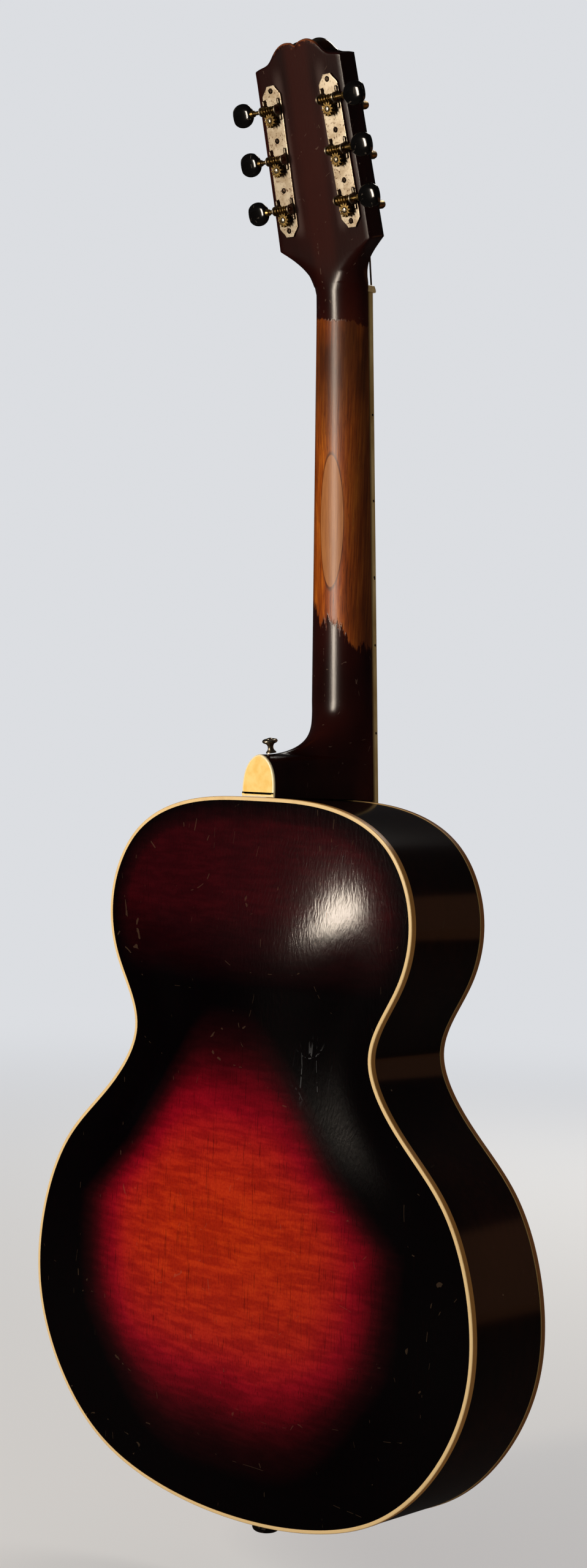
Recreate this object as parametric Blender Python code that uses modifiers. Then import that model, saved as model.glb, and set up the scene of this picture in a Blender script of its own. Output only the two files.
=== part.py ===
"""Archtop guitar, acoustic, 16 inches wide with a 24 3/4 inch scale.

+Z runs up the neck, -Y is the front (the strings), +Y the back, -X the bass side.
The origin is the middle of the neck at the nut, where a wall hanger holds it.
Sizes below are millimetres; MM turns them into metres when a mesh is made.
"""
import math

import bmesh
import bpy
import numpy as np
from mathutils import Euler, Matrix, Vector

MM = 0.001
GAP = 0.3

# Scale and neck
SCALE_LENGTH = 629.0
FRET_COUNT = 20
NECK_ANGLE = 3.49
GLUE_PLANE_Y = -5.5
BOARD_THICKNESS = 6.0
BOARD_RADIUS = 305.0
BOARD_END = 438.0
NUT_WIDTH = 43.2
WIDTH_AT_14 = 53.6
FRET_HEIGHT = 1.0
NECK_DEPTH_AT_NUT = 16.6
NECK_DEPTH_AT_HEEL = 19.5
HEEL_START_Z = -283.0
HEEL_TIP_Z = -322.5
HEEL_BACK_Y = 61.0
HEEL_HALF_AT_CAP = 14.7

# Headstock: distances run up from the nut along its back face
HEAD_ANGLE = 16.76
HEAD_BACK_Y = 8.76
HEAD_THICKNESS = 15.4
OVERLAY_THICKNESS = 1.5
HEAD_WOOD = HEAD_THICKNESS - OVERLAY_THICKNESS - GAP
HEAD_SLOPE = math.tan(math.radians(HEAD_ANGLE))
HEAD_SINK = 0.2
NUT_LEDGE_Z = 5.1
HEAD_HALF_OUTLINE = [
    (21.9, 6.0), (23.0, 12.0), (29.0, 21.0), (41.6, 31.5), (40.2, 95.0), (39.0, 154.0),
    (33.0, 155.6), (27.0, 157.2), (21.0, 162.5), (12.0, 168.4), (5.0, 168.0), (0.9, 165.9),
]

# Body: the outline is half widths at distances below the top edge
BODY_TOP_Z = -351.6
FRONT_RIM_Y = -12.9
BACK_RIM_Y = 63.1
BODY_LENGTH = 489.7
BODY_HALF_OUTLINE = [
    (0.0, 0.0), (70.5, 5.0), (117.5, 28.0), (138.5, 68.0), (131.5, 118.0), (110.0, 166.5), (125.5, 199.5),
    (174.5, 251.0), (198.5, 306.5), (200.0, 365.5), (176.0, 420.0), (133.5, 460.5), (74.0, 482.5),
    (0.0, BODY_LENGTH),
]
OUTLINE_STEPS = 2
PLATE_THICKNESS = 4.6
BINDING_WIDTH = 2.6
EDGE_LEDGE = 10.0
TOP_ARCH = 16.0
BACK_ARCH = 14.0
SPINE_FROM = 105.0
SPINE_TO = 345.0
ARCH_RINGS = [0.0, 0.1, 0.24, 0.42, 0.62, 0.82, 1.0]
RIB_THICKNESS = 2.2
LINING_WIDTH = 5.0
LINING_HEIGHT = 12.0
BLOCK_HALF_WIDTH = 31.0
TENON_HALF_WIDTH = 10.5

# Strings, from the bass side: radii and spacing
STRING_RADII = [0.66, 0.53, 0.41, 0.31, 0.22, 0.18]
NUT_SPREAD = 35.5
BRIDGE_SPREAD = 51.0
NUT_STRING_Y = -13.5
SADDLE_STRING_Y = -53.4
BRIDGE_Z = -628.0

# Tuning machines
GEAR_HEIGHTS = [52.8, 86.5, 120.0]
MACHINE_LEAN = 0.0275
WORM_ABOVE_GEAR = 6.75
WORM_AXIS_Y = 5.2
GEAR_TEETH = 12
GEAR_MODULE = 0.74
WORM_RADIUS = 2.75
WORM_ROOT = 1.65
SHAFT_RADIUS = 1.4
POST_RADIUS = 3.0
POST_OUT = 20.0
TUNER_PLATE_HALF = 8.4
TUNER_PLATE_THICKNESS = 1.2
BUTTON_FROM = 43.0
BUTTON_LENGTH = 15.5

# Tailpiece and bridge
HINGE_Y = -20.0
HINGE_Z = -843.4
HINGE_PIN_RADIUS = 1.8
CROSSBAR_UP = 127.5
STUD_X = 37.0
STUD_RADIUS = 1.8
WHEEL_RADIUS = 8.0


def fresh_collection(name):
    collection = bpy.data.collections.new(name)
    bpy.context.scene.collection.children.link(collection)
    return collection


for old in list(bpy.data.objects):
    bpy.data.objects.remove(old, do_unlink=True)
PARTS = fresh_collection("archtop_guitar")
CUTTERS = fresh_collection("cutters")


def make_material(name, colour, roughness, metallic=0.0):
    material = bpy.data.materials.new(name)
    material.use_nodes = True
    shader = material.node_tree.nodes["Principled BSDF"]
    shader.inputs["Base Color"].default_value = (*colour, 1.0)
    shader.inputs["Roughness"].default_value = roughness
    shader.inputs["Metallic"].default_value = metallic
    return material


WOODS = {
    "spruce_front": ((0.33, 0.10, 0.03), 0.25),
    "flamed_maple": ((0.30, 0.03, 0.015), 0.2),
    "dark_maple": ((0.035, 0.012, 0.008), 0.2),
    "mahogany": ((0.09, 0.03, 0.015), 0.3),
    "raw_spruce": ((0.62, 0.45, 0.25), 0.8),
    "rosewood": ((0.07, 0.03, 0.02), 0.5),
    "black_veneer": ((0.01, 0.01, 0.01), 0.15),
    "cream_plastic": ((0.78, 0.66, 0.38), 0.3),
    "bone": ((0.80, 0.74, 0.58), 0.4),
    "tortoise_plastic": ((0.12, 0.03, 0.015), 0.2),
    "black_plastic": ((0.01, 0.01, 0.01), 0.15),
}
METALS = {
    "aged_nickel": ((0.62, 0.58, 0.50), 0.35),
    "aged_brass": ((0.55, 0.40, 0.18), 0.35),
    "string_steel": ((0.60, 0.57, 0.52), 0.3),
}
MATERIALS = {name: make_material(name, *look) for name, look in WOODS.items()}
MATERIALS.update({name: make_material(name, *look, metallic=1.0) for name, look in METALS.items()})


def empty_frame(name, location, turn_x=0.0):
    """A guide that pieces are parented to; its own place is in millimetres and degrees."""
    empty = bpy.data.objects.new(name, None)
    empty.location = Vector(location) * MM
    empty.rotation_euler = (math.radians(turn_x), 0.0, 0.0)
    PARTS.objects.link(empty)
    return empty


TAILPIECE_LEAN = math.degrees(math.atan2(HINGE_Y - SADDLE_STRING_Y, BRIDGE_Z - HINGE_Z))
NECK = empty_frame("neck_frame", (0, GLUE_PLANE_Y, 0), -NECK_ANGLE)
HEAD = empty_frame("head_frame", (0, HEAD_BACK_Y, 0), -HEAD_ANGLE)
TAIL = empty_frame("tailpiece_frame", (0, HINGE_Y, HINGE_Z), TAILPIECE_LEAN)


def place(name, mesh, material=None, parent=None, at=(0, 0, 0), turn=(0, 0, 0)):
    """Links a mesh as a part, or as a cutter when it has no material."""
    obj = bpy.data.objects.new(name, mesh)
    obj.location = Vector(at) * MM
    obj.rotation_euler = Euler([math.radians(a) for a in turn])
    obj.parent = parent
    if material:
        obj.data.materials.append(MATERIALS[material])
        PARTS.objects.link(obj)
    else:
        CUTTERS.objects.link(obj)
        obj.hide_render = True
        obj.display_type = "WIRE"
    return obj


def combine(obj, others, operation):
    for other in others:
        modifier = obj.modifiers.new(operation.lower(), "BOOLEAN")
        modifier.operation = operation
        modifier.solver = "EXACT"
        modifier.object = other
    return obj


def cut(obj, *cutters):
    return combine(obj, cutters, "DIFFERENCE")


def join(obj, *others):
    return combine(obj, others, "UNION")


def mesh_from(name, build):
    """Runs build(bm) in millimetres and returns the mesh in metres with outward normals."""
    bm = bmesh.new()
    build(bm)
    bmesh.ops.recalc_face_normals(bm, faces=bm.faces)
    bmesh.ops.scale(bm, vec=(MM, MM, MM), verts=bm.verts)
    mesh = bpy.data.meshes.new(name)
    bm.to_mesh(mesh)
    bm.free()
    return mesh


def smooth(mesh, angle=40.0):
    mesh.shade_smooth()
    mesh.set_sharp_from_angle(angle=math.radians(angle))
    return mesh


def box_mesh(name, low, high):
    def build(bm):
        bmesh.ops.create_cube(bm, size=1.0)
        size = [b - a for a, b in zip(low, high)]
        bmesh.ops.scale(bm, vec=size, verts=bm.verts)
        bmesh.ops.translate(bm, vec=[(a + b) / 2 for a, b in zip(low, high)], verts=bm.verts)
    return mesh_from(name, build)


def rod_mesh(name, start, end, radius, sides=16, end_radius=None):
    """A cylinder or cone between two points."""
    a, b = Vector(start), Vector(end)

    def build(bm):
        turn = (b - a).to_track_quat("Z", "Y").to_matrix().to_4x4()
        bmesh.ops.create_cone(
            bm, cap_ends=True, segments=sides, radius1=radius,
            radius2=radius if end_radius is None else end_radius,
            depth=(b - a).length, matrix=Matrix.Translation((a + b) / 2) @ turn)
    return smooth(mesh_from(name, build))


def loft_mesh(name, sections, sharp=30.0):
    """A closed skin through sections, each the same count of points round one loop."""
    def build(bm):
        rings = [[bm.verts.new(p) for p in section] for section in sections]
        for ring, after in zip(rings, rings[1:]):
            for i in range(len(ring)):
                j = (i + 1) % len(ring)
                bm.faces.new((ring[i], ring[j], after[j], after[i]))
        bm.faces.new(rings[0])
        bm.faces.new(rings[-1])
    return smooth(mesh_from(name, build), sharp)


def flat_mesh(name, outline, thickness, front_y=0.0):
    """A flat sheet in the X-Z plane, from front_y back by its thickness, off a filled 2D curve."""
    curve = bpy.data.curves.new(name + "_outline", "CURVE")
    curve.dimensions = "2D"
    curve.fill_mode = "BOTH"
    curve.extrude = thickness / 2 * MM
    spline = curve.splines.new("POLY")
    spline.points.add(len(outline) - 1)
    for point, (x, z) in zip(spline.points, outline):
        point.co = (x * MM, z * MM, 0.0, 1.0)
    spline.use_cyclic_u = True
    holder = bpy.data.objects.new(name + "_outline", curve)
    CUTTERS.objects.link(holder)
    evaluated = holder.evaluated_get(bpy.context.evaluated_depsgraph_get())
    mesh = bpy.data.meshes.new_from_object(evaluated)
    bpy.data.objects.remove(holder)
    mesh.name = name
    mesh.transform(Matrix.Translation((0, (front_y + thickness / 2) * MM, 0)) @ Matrix.Rotation(math.pi / 2, 4, "X"))
    bm = bmesh.new()
    bm.from_mesh(mesh)
    bmesh.ops.remove_doubles(bm, verts=bm.verts, dist=0.00001)
    bmesh.ops.recalc_face_normals(bm, faces=bm.faces)
    bm.to_mesh(mesh)
    bm.free()
    return mesh


def turned(name, profile, material, parent=None, at=(0, 0, 0), turn=(0, 0, 0), steps=20):
    """A turned piece: (radius, height) pairs down its outer side, spun about Z by a Screw."""
    mesh = bpy.data.meshes.new(name)
    closed = profile[0] == profile[-1]
    verts = [(r * MM, 0.0, h * MM) for r, h in (profile[:-1] if closed else profile)]
    edges = [(i, i + 1) for i in range(len(verts) - 1)]
    if closed:
        edges.append((len(verts) - 1, 0))
    mesh.from_pydata(verts, edges, [])
    obj = place(name, mesh, material, parent, at, turn)
    screw = obj.modifiers.new("spin", "SCREW")
    screw.axis = "Z"
    screw.steps = steps
    screw.render_steps = steps
    screw.use_merge_vertices = True
    screw.merge_threshold = 0.00001
    screw.use_smooth_shade = True
    return obj


def tube(name, points, radius, material, parent=None, resolution=2):
    """A wire along a list of points, as a bevelled curve made into a mesh."""
    curve = bpy.data.curves.new(name + "_path", "CURVE")
    curve.dimensions = "3D"
    curve.bevel_depth = radius * MM
    curve.bevel_resolution = resolution
    curve.use_fill_caps = True
    spline = curve.splines.new("POLY")
    spline.points.add(len(points) - 1)
    for point, co in zip(spline.points, points):
        point.co = (co[0] * MM, co[1] * MM, co[2] * MM, 1.0)
    holder = bpy.data.objects.new(name + "_path", curve)
    CUTTERS.objects.link(holder)
    evaluated = holder.evaluated_get(bpy.context.evaluated_depsgraph_get())
    mesh = bpy.data.meshes.new_from_object(evaluated)
    bpy.data.objects.remove(holder)
    bm = bmesh.new()
    bm.from_mesh(mesh)
    bmesh.ops.remove_doubles(bm, verts=bm.verts, dist=0.00001)
    bmesh.ops.recalc_face_normals(bm, faces=bm.faces)
    bm.to_mesh(mesh)
    bm.free()
    return place(name, smooth(mesh, 60.0), material, parent)


def spline_tangents(points, closed):
    """Slopes of the smooth cubic through the points, natural at open ends."""
    count = len(points)
    after = np.roll(points, -1, 0)
    length = np.hypot(*(after - points).T)
    matrix = np.zeros((count, count))
    wanted = np.zeros((count, 2))
    for i in range(count):
        if not closed and i in (0, count - 1):
            near = 1 if i == 0 else -1
            chord = (points[i + near] - points[i]) / length[min(i, i + near)] * near
            matrix[i, i] = 2.0
            matrix[i, i + near] = 1.0
            wanted[i] = 3 * chord
            continue
        before, here = length[i - 1], length[i]
        matrix[i, i - 1] = here
        matrix[i, i] = 2 * (before + here)
        matrix[i, (i + 1) % count] = before
        wanted[i] = 3 * (here * (points[i] - points[i - 1]) / before + before * (after[i] - points[i]) / here)
    return np.linalg.solve(matrix, wanted), length


def spline_through(points, steps, closed=False):
    """Evenly shared points on the smooth curve through the given ones."""
    points = np.array(points, float)
    slopes, length = spline_tangents(points, closed)
    u = np.linspace(0, 1, steps, endpoint=False)[:, None]
    spans = []
    for i in range(len(points) if closed else len(points) - 1):
        j = (i + 1) % len(points)
        a, b = slopes[i] * length[i], slopes[j] * length[i]
        spans.append((2 * u**3 - 3 * u**2 + 1) * points[i] + (u**3 - 2 * u**2 + u) * a
                     + (3 * u**2 - 2 * u**3) * points[j] + (u**3 - u**2) * b)
    if not closed:
        spans.append(points[-1:])
    return np.vstack(spans)


def mirrored(half):
    """A closed outline from its half, whose end points lie on the middle line."""
    half = np.array(half, float)
    return np.vstack([half, (half[1:-1] * [-1, 1])[::-1]])


def inset(loop, distance):
    """The loop moved inwards along its normals."""
    along = np.roll(loop, -1, 0) - np.roll(loop, 1, 0)
    along /= np.hypot(*along.T)[:, None]
    return loop + np.stack([-along[:, 1], along[:, 0]], 1) * distance


BODY_LOOP = spline_through(mirrored(BODY_HALF_OUTLINE), OUTLINE_STEPS, closed=True)


def half_line(distance, top_x, bottom_x):
    """The treble half of the outline, moved in, from top_x at the neck to bottom_x at the tail."""
    loop = inset(BODY_LOOP, distance)
    half = loop[:len(loop) // 2 + 1]
    top = [top_x, np.interp(top_x, half[:4, 0], half[:4, 1])]
    bottom = [bottom_x, np.interp(bottom_x, half[::-1][:4, 0], half[::-1][:4, 1])]
    middle = [p for p in half[1:-1] if p[0] > (top_x if p[1] < BODY_LENGTH / 2 else bottom_x) + 3]
    return np.vstack([[top], middle, [bottom]])


def arch_share(t):
    """Height share of a plate's arch: a flat ledge, then an easy rise to the crown."""
    t = np.clip((t - 0.05) / 0.95, 0, 1) ** 0.9
    return 0.5 - 0.5 * np.cos(math.pi * t)


ARCH_BASE = inset(BODY_LOOP, EDGE_LEDGE)


def arch_height(x, d, arch):
    """Height of an arched plate above its rim at a place on it."""
    centre = min(max(d, SPINE_FROM), SPINE_TO)
    offset = ARCH_BASE - [0, centre]
    angle = np.arctan2(offset[:, 1], offset[:, 0])
    order = np.argsort(angle)
    reach = np.hypot(*offset.T)
    toward = math.atan2(d - centre, x)
    edge = np.interp(toward, angle[order], reach[order], period=2 * math.pi)
    return arch * float(arch_share(1 - math.hypot(x, d - centre) / edge))


def top_y(x, z):
    """Outside face of the top plate at a place."""
    return FRONT_RIM_Y - arch_height(x, BODY_TOP_Z - z, TOP_ARCH)


def arched_plate(name, rim_y, arch, material):
    """An arched skin from the ledge to the ridge along its middle, given its thickness by Solidify."""
    outward = -1 if rim_y < 0 else 1
    edge = inset(BODY_LOOP, BINDING_WIDTH + GAP)
    spine = np.stack([np.zeros(len(ARCH_BASE)), np.clip(ARCH_BASE[:, 1], SPINE_FROM, SPINE_TO)], 1)

    def build(bm):
        rings = [[bm.verts.new((x, rim_y, BODY_TOP_Z - d)) for x, d in edge]]
        for t in ARCH_RINGS:
            loop = ARCH_BASE + (spine - ARCH_BASE) * t
            y = rim_y + outward * arch * float(arch_share(t))
            rings.append([bm.verts.new((x, y, BODY_TOP_Z - d)) for x, d in loop])
        for ring, after in zip(rings, rings[1:]):
            for i in range(len(ring)):
                j = (i + 1) % len(ring)
                bm.faces.new((ring[i], ring[j], after[j], after[i]))
        bmesh.ops.remove_doubles(bm, verts=bm.verts, dist=0.01)
        bmesh.ops.dissolve_degenerate(bm, edges=bm.edges, dist=0.001)
    mesh = mesh_from(name, build)
    if mesh.polygons[0].normal.y * outward < 0:
        mesh.flip_normals()
    obj = place(name, smooth(mesh, 60.0), material)
    wall = obj.modifiers.new("thickness", "SOLIDIFY")
    wall.thickness = PLATE_THICKNESS * MM
    wall.offset = -1.0
    wall.use_even_offset = True
    return obj


def f_hole_line(side):
    """The middle line of one f-hole, from its upper eye to its lower one."""
    points = [(66, 214), (68, 205), (76, 201), (83, 208), (84.5, 230), (83, 277), (81.5, 322), (83, 345), (90, 352),
              (98, 349), (99, 341)]
    line = spline_through(points, 2)
    return np.stack([line[:, 0] * side, BODY_TOP_Z - line[:, 1]], 1)


def f_hole_cutters(label, side):
    line = f_hole_line(side)
    share = np.linspace(0, 1, len(line))
    half = 1.2 + 2.9 * np.sin(math.pi * share) ** 1.5
    along = np.gradient(line, axis=0)
    along /= np.hypot(*along.T)[:, None]
    across = np.stack([-along[:, 1], along[:, 0]], 1) * half[:, None]
    outline = np.vstack([line + across, (line - across)[::-1]])
    slot = place("f_slot_" + label, flat_mesh("f_slot_" + label, outline, 40, -45))
    eyes = []
    for end, radius in ((0, 5.0), (-1, 6.5)):
        x, z = line[end]
        eye_name = f"f_eye_{label}_{radius:.0f}"
        eyes.append(place(eye_name, rod_mesh(eye_name, (x, -45, z), (x, -5, z), radius, 12)))
    return [slot, *eyes]


def strip_solid(name, line, front_y, back_y, thickness, side, material):
    """A bent strip that stands on edge along half of the outline, thickened by Solidify."""
    def build(bm):
        low = [bm.verts.new((side * x, front_y, BODY_TOP_Z - d)) for x, d in line]
        high = [bm.verts.new((side * x, back_y, BODY_TOP_Z - d)) for x, d in line]
        for i in range(len(line) - 1):
            bm.faces.new((low[i], low[i + 1], high[i + 1], high[i]))
    mesh = mesh_from(name, build)
    if mesh.polygons[len(line) // 2].normal.x * side < 0:
        mesh.flip_normals()
    obj = place(name, smooth(mesh, 60.0), material)
    wall = obj.modifiers.new("thickness", "SOLIDIFY")
    wall.thickness = thickness * MM
    wall.offset = -1.0
    return obj


def ring_solid(name, front_y, back_y, width, material):
    """The binding: a square strip that runs right round the outline."""
    outer, inner = BODY_LOOP, inset(BODY_LOOP, width)

    def build(bm):
        rings = []
        for loop, y in ((outer, front_y), (outer, back_y), (inner, back_y), (inner, front_y)):
            rings.append([bm.verts.new((x, y, BODY_TOP_Z - d)) for x, d in loop])
        for k in range(4):
            ring, after = rings[k], rings[(k + 1) % 4]
            for i in range(len(ring)):
                j = (i + 1) % len(ring)
                bm.faces.new((ring[i], ring[j], after[j], after[i]))
    return place(name, smooth(mesh_from(name, build), 40.0), material)


SIDES = {"bass": -1, "treble": 1}
TOP_INSIDE_Y = FRONT_RIM_Y + PLATE_THICKNESS
BACK_INSIDE_Y = BACK_RIM_Y - PLATE_THICKNESS
HEEL_END_Z = BODY_TOP_Z + 0.6
TENON_DEPTH = 18.0
TENON_Y = (-4.0, 44.0)


def tenon_sections(spread):
    """The dovetail tenon, wider inside the block; spread grows it for its pocket."""
    sections = []
    for z, widen in ((HEEL_END_Z + 6.0, -1.5), (BODY_TOP_Z - TENON_DEPTH - spread, 1.0)):
        half = TENON_HALF_WIDTH + widen + spread
        low, high = TENON_Y[0] - spread, TENON_Y[1] + spread
        sections.append([(-half, low, z), (half, low, z), (half, high, z), (-half, high, z)])
    return sections


def build_body():
    top = arched_plate("top_plate", FRONT_RIM_Y, TOP_ARCH, "spruce_front")
    arched_plate("back_plate", BACK_RIM_Y, BACK_ARCH, "flamed_maple")
    for label, side in SIDES.items():
        cut(top, *f_hole_cutters(label, side))
    ring_solid("top_binding", FRONT_RIM_Y, TOP_INSIDE_Y - GAP, BINDING_WIDTH, "cream_plastic")
    ring_solid("back_binding", BACK_INSIDE_Y + GAP, BACK_RIM_Y, BINDING_WIDTH, "cream_plastic")

    pin_hole = place("end_pin_hole", rod_mesh("end_pin_hole", (0, 25.1, -820), (0, 25.1, -850), 5.3, 12))
    rib_line = half_line(GAP, TENON_HALF_WIDTH + 3.0, GAP / 2)
    for label, side in SIDES.items():
        rib = strip_solid("rib_" + label, rib_line, TOP_INSIDE_Y + GAP, BACK_INSIDE_Y - GAP, RIB_THICKNESS, side,
                          "dark_maple")
        cut(rib, pin_hole)
    lining_in = GAP + RIB_THICKNESS + GAP
    lining_line = half_line(lining_in, BLOCK_HALF_WIDTH + 1.0, BLOCK_HALF_WIDTH + 1.0)
    for label, side in SIDES.items():
        strip_solid("front_lining_" + label, lining_line, TOP_INSIDE_Y + GAP, TOP_INSIDE_Y + LINING_HEIGHT,
                    LINING_WIDTH, side, "raw_spruce")
        strip_solid("back_lining_" + label, lining_line, BACK_INSIDE_Y - LINING_HEIGHT, BACK_INSIDE_Y - GAP,
                    LINING_WIDTH, side, "raw_spruce")

    block_front, block_back = TOP_INSIDE_Y + GAP, BACK_INSIDE_Y - GAP
    neck_block = place("neck_block", box_mesh("neck_block",
                                              (-BLOCK_HALF_WIDTH, block_front, BODY_TOP_Z - 50.0),
                                              (BLOCK_HALF_WIDTH, block_back, BODY_TOP_Z - 4.4)), "mahogany")
    cut(neck_block, place("tenon_pocket", loft_mesh("tenon_pocket", tenon_sections(GAP + 0.1))))
    tail_end = BODY_TOP_Z - BODY_LENGTH
    tail_block = place("tail_block", box_mesh("tail_block", (-BLOCK_HALF_WIDTH, block_front, tail_end + 5.4),
                                              (BLOCK_HALF_WIDTH, block_back, tail_end + 26.0)), "mahogany")
    cut(tail_block, pin_hole)

    for label, side in SIDES.items():
        sections = []
        for z in np.linspace(BODY_TOP_Z - 112, BODY_TOP_Z - 345, 12):
            share = (BODY_TOP_Z - z - 112) / (345 - 112)
            x = side * (28 + 20 * share)
            near, far = (top_y(x + step, z) + PLATE_THICKNESS + 1.3 for step in (-3, 3))
            deep = max(near, far) + 5 + 8 * math.sin(math.pi * (0.08 + 0.84 * share))
            sections.append([(x - 3, near, z), (x + 3, far, z), (x + 3, deep, z), (x - 3, deep, z)])
        place("tone_bar_" + label, loft_mesh("tone_bar_" + label, sections), "raw_spruce")


def glue_y(z):
    """The neck's glue plane in the body's axes at a height."""
    return GLUE_PLANE_Y + z * math.tan(math.radians(NECK_ANGLE))


def board_half(z):
    """Half width of the neck with its bindings at a height below the nut."""
    fret_14 = SCALE_LENGTH * (1 - 2 ** (-14 / 12))
    return (NUT_WIDTH + (WIDTH_AT_14 - NUT_WIDTH) * -z / fret_14) / 2


def heel_cap_half(z):
    """Half width of the heel cap's pointed arch at a height."""
    share = (z - HEEL_END_Z) / (HEEL_TIP_Z - HEEL_END_Z)
    return HEEL_HALF_AT_CAP * max(0.0, 1 - min(share, 1.0) ** 3) ** 0.6


def neck_section(z):
    """One section of the neck: a flat plate near the head, an oval in the hand, then the tapering heel."""
    front = glue_y(z)
    half = board_half(min(z, 0.0)) - 0.2 + 0.09 * max(z, 0.0)
    share = min(max(z / HEEL_START_Z, 0.0), 1.0)
    depth = NECK_DEPTH_AT_NUT + (NECK_DEPTH_AT_HEEL - NECK_DEPTH_AT_NUT) * share
    if z > NUT_LEDGE_Z:
        head_front = HEAD_BACK_Y - HEAD_WOOD / math.cos(math.radians(HEAD_ANGLE)) + HEAD_SLOPE * z
        depth -= head_front + HEAD_SINK - front
        front = head_front + HEAD_SINK
    flat = min(max((z + 16.0) / 28.0, 0.0), 1.0) ** 1.5
    heel, end_half = 0.0, 0.6
    if z < HEEL_START_Z:
        u = min((HEEL_START_Z - z) / (HEEL_START_Z - HEEL_TIP_Z), 1.0)
        rise = 1 - math.sqrt(max(0.0, 1 - u * u))
        depth += (HEEL_BACK_Y - front - depth) * rise
        heel = u ** 1.5
        end_half = max(0.6, heel_cap_half(z)) if z < HEEL_TIP_Z else 0.6
    points = []
    for k in range(8):
        v = math.sin(math.pi / 2 * k / 7)
        oval = half * math.sqrt(max(0.0, 1 - v * v)) + end_half * v
        taper = half + (end_half - half) * v ** 0.9
        plate = half * (1 - 0.04 * v)
        points.append((oval * (1 - heel - flat) + taper * heel + plate * flat, front + depth * v, z))
    return points + [(-x, y, height) for x, y, height in points[::-1]]


def tongue_section(z):
    """The neck's tongue under the fingerboard, over the arch of the top plate."""
    half = board_half(z) - 2.5
    front = glue_y(z) + 0.4
    depth = top_y(0, min(z, BODY_TOP_Z)) - 0.7 - front
    points = [(half - 2 * k / 7, front + depth * k / 7, z) for k in range(8)]
    return points + [(-x, y, height) for x, y, height in points[::-1]]


def head_outline():
    half = HEAD_HALF_OUTLINE
    return half + [(0.0, 165.4)] + [(-x, z) for x, z in half[::-1]]


def overlay_outline():
    """The black veneer reaches nearer the nut than the head's own plate."""
    return [(21.6, 1.6)] + head_outline() + [(-21.6, 1.6)]


def post_places(side):
    """Gear and post centres on the headstock, lowest first."""
    return [(side * (28.3 - MACHINE_LEAN * (z - 52.8)), z) for z in GEAR_HEIGHTS]


def build_neck():
    shaft_heights = [14.0, 9.0, NUT_LEDGE_Z + 0.4, NUT_LEDGE_Z, 0.0, -7.0, -16.0, -70, -130, -190, -240, HEEL_START_Z]
    heel_heights = [HEEL_START_Z + (HEEL_TIP_Z - HEEL_START_Z) * math.sin(math.pi / 2 * k / 8) for k in range(1, 9)]
    cap_heights = [HEEL_TIP_Z + (HEEL_END_Z - HEEL_TIP_Z) * share for share in (0.02, 0.1, 0.25, 0.5, 1.0)]
    sections = [neck_section(z) for z in shaft_heights + heel_heights + cap_heights]
    sections += [tongue_section(z) for z in np.linspace(HEEL_END_Z, BODY_TOP_Z - 84, 6)]
    neck = place("neck", loft_mesh("neck", sections, 50.0), "mahogany")
    join(neck, place("neck_tenon", loft_mesh("neck_tenon", tenon_sections(0.0))))
    join(neck, place("neck_head", flat_mesh("neck_head", head_outline(), HEAD_WOOD, -HEAD_WOOD), parent=HEAD))
    overlay = place("headstock_overlay", flat_mesh("headstock_overlay", overlay_outline(), OVERLAY_THICKNESS,
                                                   -HEAD_THICKNESS), "black_veneer", HEAD)
    for label, side in SIDES.items():
        for number, (x, z) in enumerate(post_places(side), 1):
            name = f"post_hole_{label}_{number}"
            hole = place(name, rod_mesh(name, (x, -20, z), (x, 3, z), POST_RADIUS + 0.45, 14), parent=HEAD)
            cut(neck, hole)
            cut(overlay, hole)

    channel = place("rod_channel", box_mesh("rod_channel", (-3.2, -1, -418), (3.2, 8.5, 0)), parent=NECK)
    pocket = place("rod_pocket", box_mesh("rod_pocket", (-4.4, -14, -2.0), (4.4, 9.2, 30.0)), parent=NECK)
    cut(neck, channel, pocket)
    cut(overlay, pocket)
    place("truss_rod", rod_mesh("truss_rod", (0, 4.6, -412), (0, 4.6, 1.5), 2.4, 10), "aged_nickel", NECK)

    cap_heights = np.linspace(HEEL_END_Z, HEEL_TIP_Z, 9)
    right = [(heel_cap_half(z), z) for z in cap_heights[:-1]]
    cap_outline = right + [(0.0, HEEL_TIP_Z)] + [(-x, z) for x, z in right[::-1]]
    place("heel_cap", flat_mesh("heel_cap", cap_outline, BACK_RIM_Y - HEEL_BACK_Y - GAP, HEEL_BACK_Y + GAP),
          "cream_plastic")


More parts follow.
